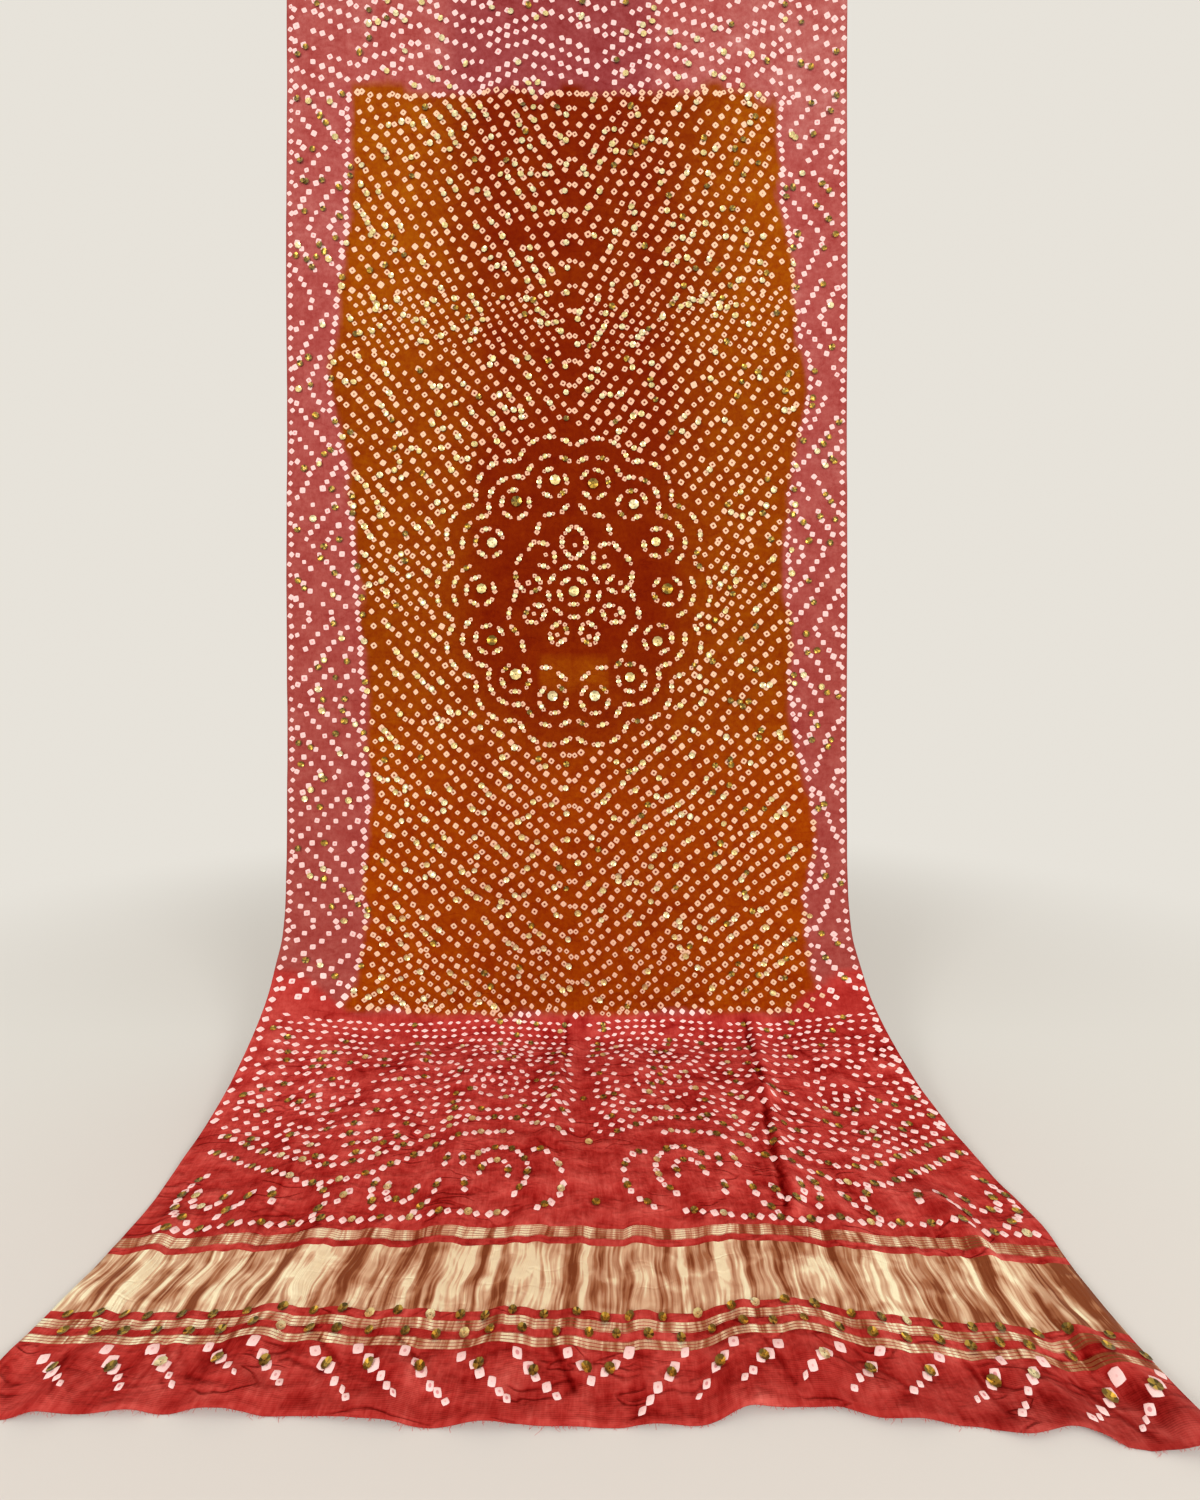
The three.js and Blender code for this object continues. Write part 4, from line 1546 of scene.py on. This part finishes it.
def gold_light(tree, where, x, along, painted_lean_light, creased):
    """How much light the gold seems to throw back, painted into its colour as painted reflection: long satin
    streaks that wave as they run, and glints and patches as painted highlights. It is lighter or darker by
    the face's sideways lean, has painted shade in the creases, and is darker towards the right edge.
    """
    bent = x + 0.016 * (drawn_noise(tree, where, (30.0, 26.0), 1.0) - 0.5)
    run = add(tree, "CombineXYZ", X=bent * 82.0, Y=along * 8.0)
    satin = noise(tree, run, 1.0, 1.0, Roughness=0.4)
    run = add(tree, "CombineXYZ", X=bent * 300.0, Y=along * 22.0)
    glint = noise(tree, run, 1.0, 1.0)
    patches = noise(tree, where, 48.0, 1.0, Distortion=0.8)
    corner = step_up(tree, x, 0.30, 0.43)
    light = 0.78 * satin + 0.5 * glint - 0.29 + 0.36 * patches
    # Painted light and shade: lighter or darker by the face's lean, painted shade in the creases, and darker
    # towards the right edge.
    return light + 0.3 * painted_lean_light - 0.1 * creased - 0.15 * corner


def silk_material():
    """The dyed ground and the gold, mixed by the gold's mask."""
    material, tree, surface = new_material("dyed_silk")
    where = add(tree, "UVMap", {"uv_map": "place"})
    x, along, _ = split(tree, where)
    laid = step_up(tree, along, 1.74, 1.88)
    shaky = noise(tree, where, 60.0, 1.0)
    shift = 0.01 * (shaky - 0.5)
    moved = vector(tree, "ADD", in0=where, in1=add(tree, "CombineXYZ", X=shift, Y=shift))
    creased = crease_lines(tree, moved, CREASE_LINES)
    ground, relief, painted_lean_light = silk_ground(tree, where, laid, creased)
    mask = gold_mask(tree, where, along)
    light = gold_light(tree, where, x, along, painted_lean_light, creased)
    gold = ramp(tree, light, GOLD_PAINTED_REFLECTION, "EASE")
    feed(surface.inputs["Base Color"], blend_colour(tree, mask, ground, gold))
    feed(surface.inputs["Metallic"], mask * 0.4)
    feed(surface.inputs["Roughness"], 0.62 - 0.24 * mask)
    surface.inputs["Specular IOR Level"].default_value = 0.012
    grain = 0.035 * wave(tree, along, WEFT * MM) + 0.02 * wave(tree, x, WARP * MM)
    height = (relief + grain) * (1.0 - 0.85 * mask) - 0.55 * creased + 0.9 * mask * light
    raise_finish(tree, surface, height, 0.8, 0.0036)
    return material


silk = silk_material()
print("silk:", len(silk.node_tree.nodes), "nodes")

# %% [markdown]
# ### Undyed silk and sequin metal
#
# A dot's rim takes some of the ground's dye and its middle a speck of it. The map's four columns stand for
# the four grounds, and its rows for how open the speck is. A sequin's four columns run from bright gold to
# dark olive, and each of its eight facets is painted lighter or darker by chance, as a painted reflection of
# another part of the room.

# %% Finish the dots and the sequins


RIM_TINTS = [(0.72, 0.28, 0.30), (0.62, 0.22, 0.06), (0.5, 0.14, 0.05), (0.75, 0.22, 0.24)]
SPECK_TINTS = [(0.62, 0.24, 0.25), (0.22, 0.035, 0.006), (0.16, 0.012, 0.003), (0.66, 0.26, 0.27)]
BODY_TINTS = [(0.76, 0.51, 0.49), (0.73, 0.47, 0.31), (0.71, 0.42, 0.28), (0.92, 0.63, 0.61)]
SEQUIN_TONES = [(0.95, 0.82, 0.46), (0.88, 0.70, 0.30), (0.42, 0.25, 0.03), (0.22, 0.14, 0.022)]


def cell_parts(tree):
    """Which cell of the four by four map a place is in, and its distance and angle from the cell's middle."""
    where = add(tree, "UVMap", {"uv_map": "OFBake"})
    scaled = vector(tree, "SCALE", in0=where, Scale=4.0)
    column, row, _ = split(tree, vector(tree, "FLOOR", in0=scaled))
    inner = vector(tree, "FRACTION", in0=scaled)
    px, py, _ = split(tree, vector(tree, "SUBTRACT", in0=inner, in1=(0.5, 0.5, 0.0)))
    radius = calc(tree, "SQRT", px * px + py * py) * (1 / CELL_FILL)
    return column, row, radius, calc(tree, "ARCTAN2", py, px), where


def by_column(tree, column, colours):
    """One of four colours, by the map's column."""
    stops = [(0.25 * n, colour) for n, colour in enumerate(colours)]
    return ramp(tree, 0.25 * column + 0.12, stops, "CONSTANT")


def dot_material():
    """White silk, tinted at the rim and in the speck by the column's colour."""
    material, tree, surface = new_material("undyed_dot")
    column, row, radius, _, where = cell_parts(tree)
    at_rim = step_up(tree, radius, 0.78, 1.04, "SMOOTHSTEP")
    body, rim, speck = (by_column(tree, column, tints) for tints in (BODY_TINTS, RIM_TINTS, SPECK_TINTS))
    colour = blend_colour(tree, at_rim, body, rim)
    speck_size = 0.06 * row + 0.05
    in_speck = 1.0 - step_up(tree, radius, speck_size, speck_size + 0.16, "SMOOTHSTEP")
    open_speck = in_speck * (0.36 + 0.22 * row)
    feed(surface.inputs["Base Color"], blend_colour(tree, open_speck, colour, speck))
    surface.inputs["Roughness"].default_value = 0.7
    surface.inputs["Specular IOR Level"].default_value = 0.2
    raise_finish(tree, surface, noise(tree, where, 220.0, 2.0), 0.2, 0.0004)
    return material


def sequin_material():
    """Metal in four tones, with painted reflection: each of its eight facets is painted lighter or darker by
    chance, a few facets of the dark ones are painted as bright glints, and the flat middle is painted light.
    The hole is darker.
    """
    material, tree, surface = new_material("sequin")
    column, row, radius, angle, _ = cell_parts(tree)
    facet = calc(tree, "FLOOR", angle * (4 / math.pi) + 4.2)
    chance = add(tree, "TexWhiteNoise", {"noise_dimensions": "1D"}, W=17.0 * row + facet + 71.0 * column)
    # Painted reflection: each facet's brightness, with a few bright painted glints on the dark sequins.
    plain = 0.55 * chance + 0.5
    glinting = 2.6 * calc(tree, "POWER", chance, 3.0) + 0.35
    level = plain + (glinting - plain) * (column > 1.5)
    level = calc(tree, "MAXIMUM", level, 0.9 * (radius < 0.42))
    level = level * (0.25 + 0.75 * (radius > 0.12))
    shade = add(tree, "CombineColor", Red=level, Green=level, Blue=level)
    tone = by_column(tree, column, SEQUIN_TONES)
    feed(surface.inputs["Base Color"], blend_colour(tree, 1.0, tone, shade, "MULTIPLY"))
    surface.inputs["Metallic"].default_value = 0.6
    surface.inputs["Roughness"].default_value = 0.3
    return material


undyed = dot_material()
metal = sequin_material()
cloth.data.materials.append(silk)
for piece in dot_pieces:
    piece.data.materials.append(undyed)
sequin_piece.data.materials.append(metal)


def thread_material():
    """Plain red silk for the loose threads."""
    material, _, surface = new_material("red_thread")
    surface.inputs["Base Color"].default_value = (*RED, 1)
    surface.inputs["Roughness"].default_value = 0.7
    return material


fray.data.materials.append(thread_material())
print("materials:", [m.name for m in bpy.data.materials])

# %% [markdown]
# ## Floor and light
#
# The floor is plain and pale. Far from the cloth it fades into the colour of the room, so that no edge shows.
# A pale room lights the cloth from all sides, and two wide soft lamps in front bring out the relief.

# %% Floor, room and lamps
ROOM = (0.80, 0.765, 0.70)
floor_mesh = bpy.data.meshes.new("floor")
reach = 9.0
floor_z = -HANG_HEIGHT * MM
floor_mesh.from_pydata(
    [(-reach, -reach, floor_z), (reach, -reach, floor_z), (reach, reach, floor_z), (-reach, reach, floor_z)],
    [],
    [(0, 1, 2, 3)],
)
floor = bpy.data.objects.new("floor", floor_mesh)
bpy.context.scene.collection.objects.link(floor)


def floor_material():
    """Matt and pale near the cloth. It fades into the room's own light between 0.6 and 2 metres from it."""
    material, tree, surface = new_material("floor")
    surface.inputs["Base Color"].default_value = (0.652, 0.64, 0.615, 1)
    surface.inputs["Roughness"].default_value = 0.9
    where = Value(tree.nodes.new("ShaderNodeTexCoord").outputs["Object"])
    flat = vector(tree, "MULTIPLY", in0=where, in1=(1.0, 1.0, 0.0))
    fade = step_up(tree, vector(tree, "LENGTH", 1, in0=flat), 0.6, 2.0, "SMOOTHSTEP")
    room = add(tree, "Emission", Color=(*ROOM, 1), Strength=1.0)
    mixed = add(tree, "MixShader", in0=fade, in1=Value(surface.outputs[0]), in2=room)
    output = next(n for n in tree.nodes if n.type == "OUTPUT_MATERIAL")
    feed(output.inputs["Surface"], mixed)
    return material


floor_mesh.materials.append(floor_material())
world = bpy.data.worlds.new("room")
world.use_nodes = True
world.node_tree.nodes["Background"].inputs[0].default_value = (*ROOM, 1)
world.node_tree.nodes["Background"].inputs[1].default_value = 1.0
bpy.context.scene.world = world


def add_lamp(name, location, aim, size, power, colour):
    """A square soft lamp that faces a point."""
    data = bpy.data.lights.new(name, "AREA")
    data.size = size
    data.energy = power
    data.color = colour
    lamp = bpy.data.objects.new(name, data)
    lamp.location = location
    run = np.array(location) - np.array(aim)
    lamp.rotation_euler = (math.atan2(math.hypot(run[0], run[1]), run[2]), 0, math.atan2(run[0], -run[1]))
    bpy.context.scene.collection.objects.link(lamp)
    return lamp


add_lamp("lamp_left", (-2.4, -2.9, -0.3), (0, -0.2, -1.2), 1.1, 70, (1.0, 0.98, 0.95))
add_lamp("lamp_right", (2.2, -2.6, -0.1), (0, -0.2, -1.2), 1.1, 58, (1.0, 0.97, 0.93))

# %% [markdown]
# ## Fastening everything to the frame
#
# Every piece rides on the one body of the solid, and the cloth's mesh stands for the solid itself, whose own
# part is hidden.

# %% Fasten the pieces to the frame
details = [*dot_pieces, sequin_piece, fray]
for piece in [cloth, *details]:
    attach(piece, "root")
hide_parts("bandhani_cloth")
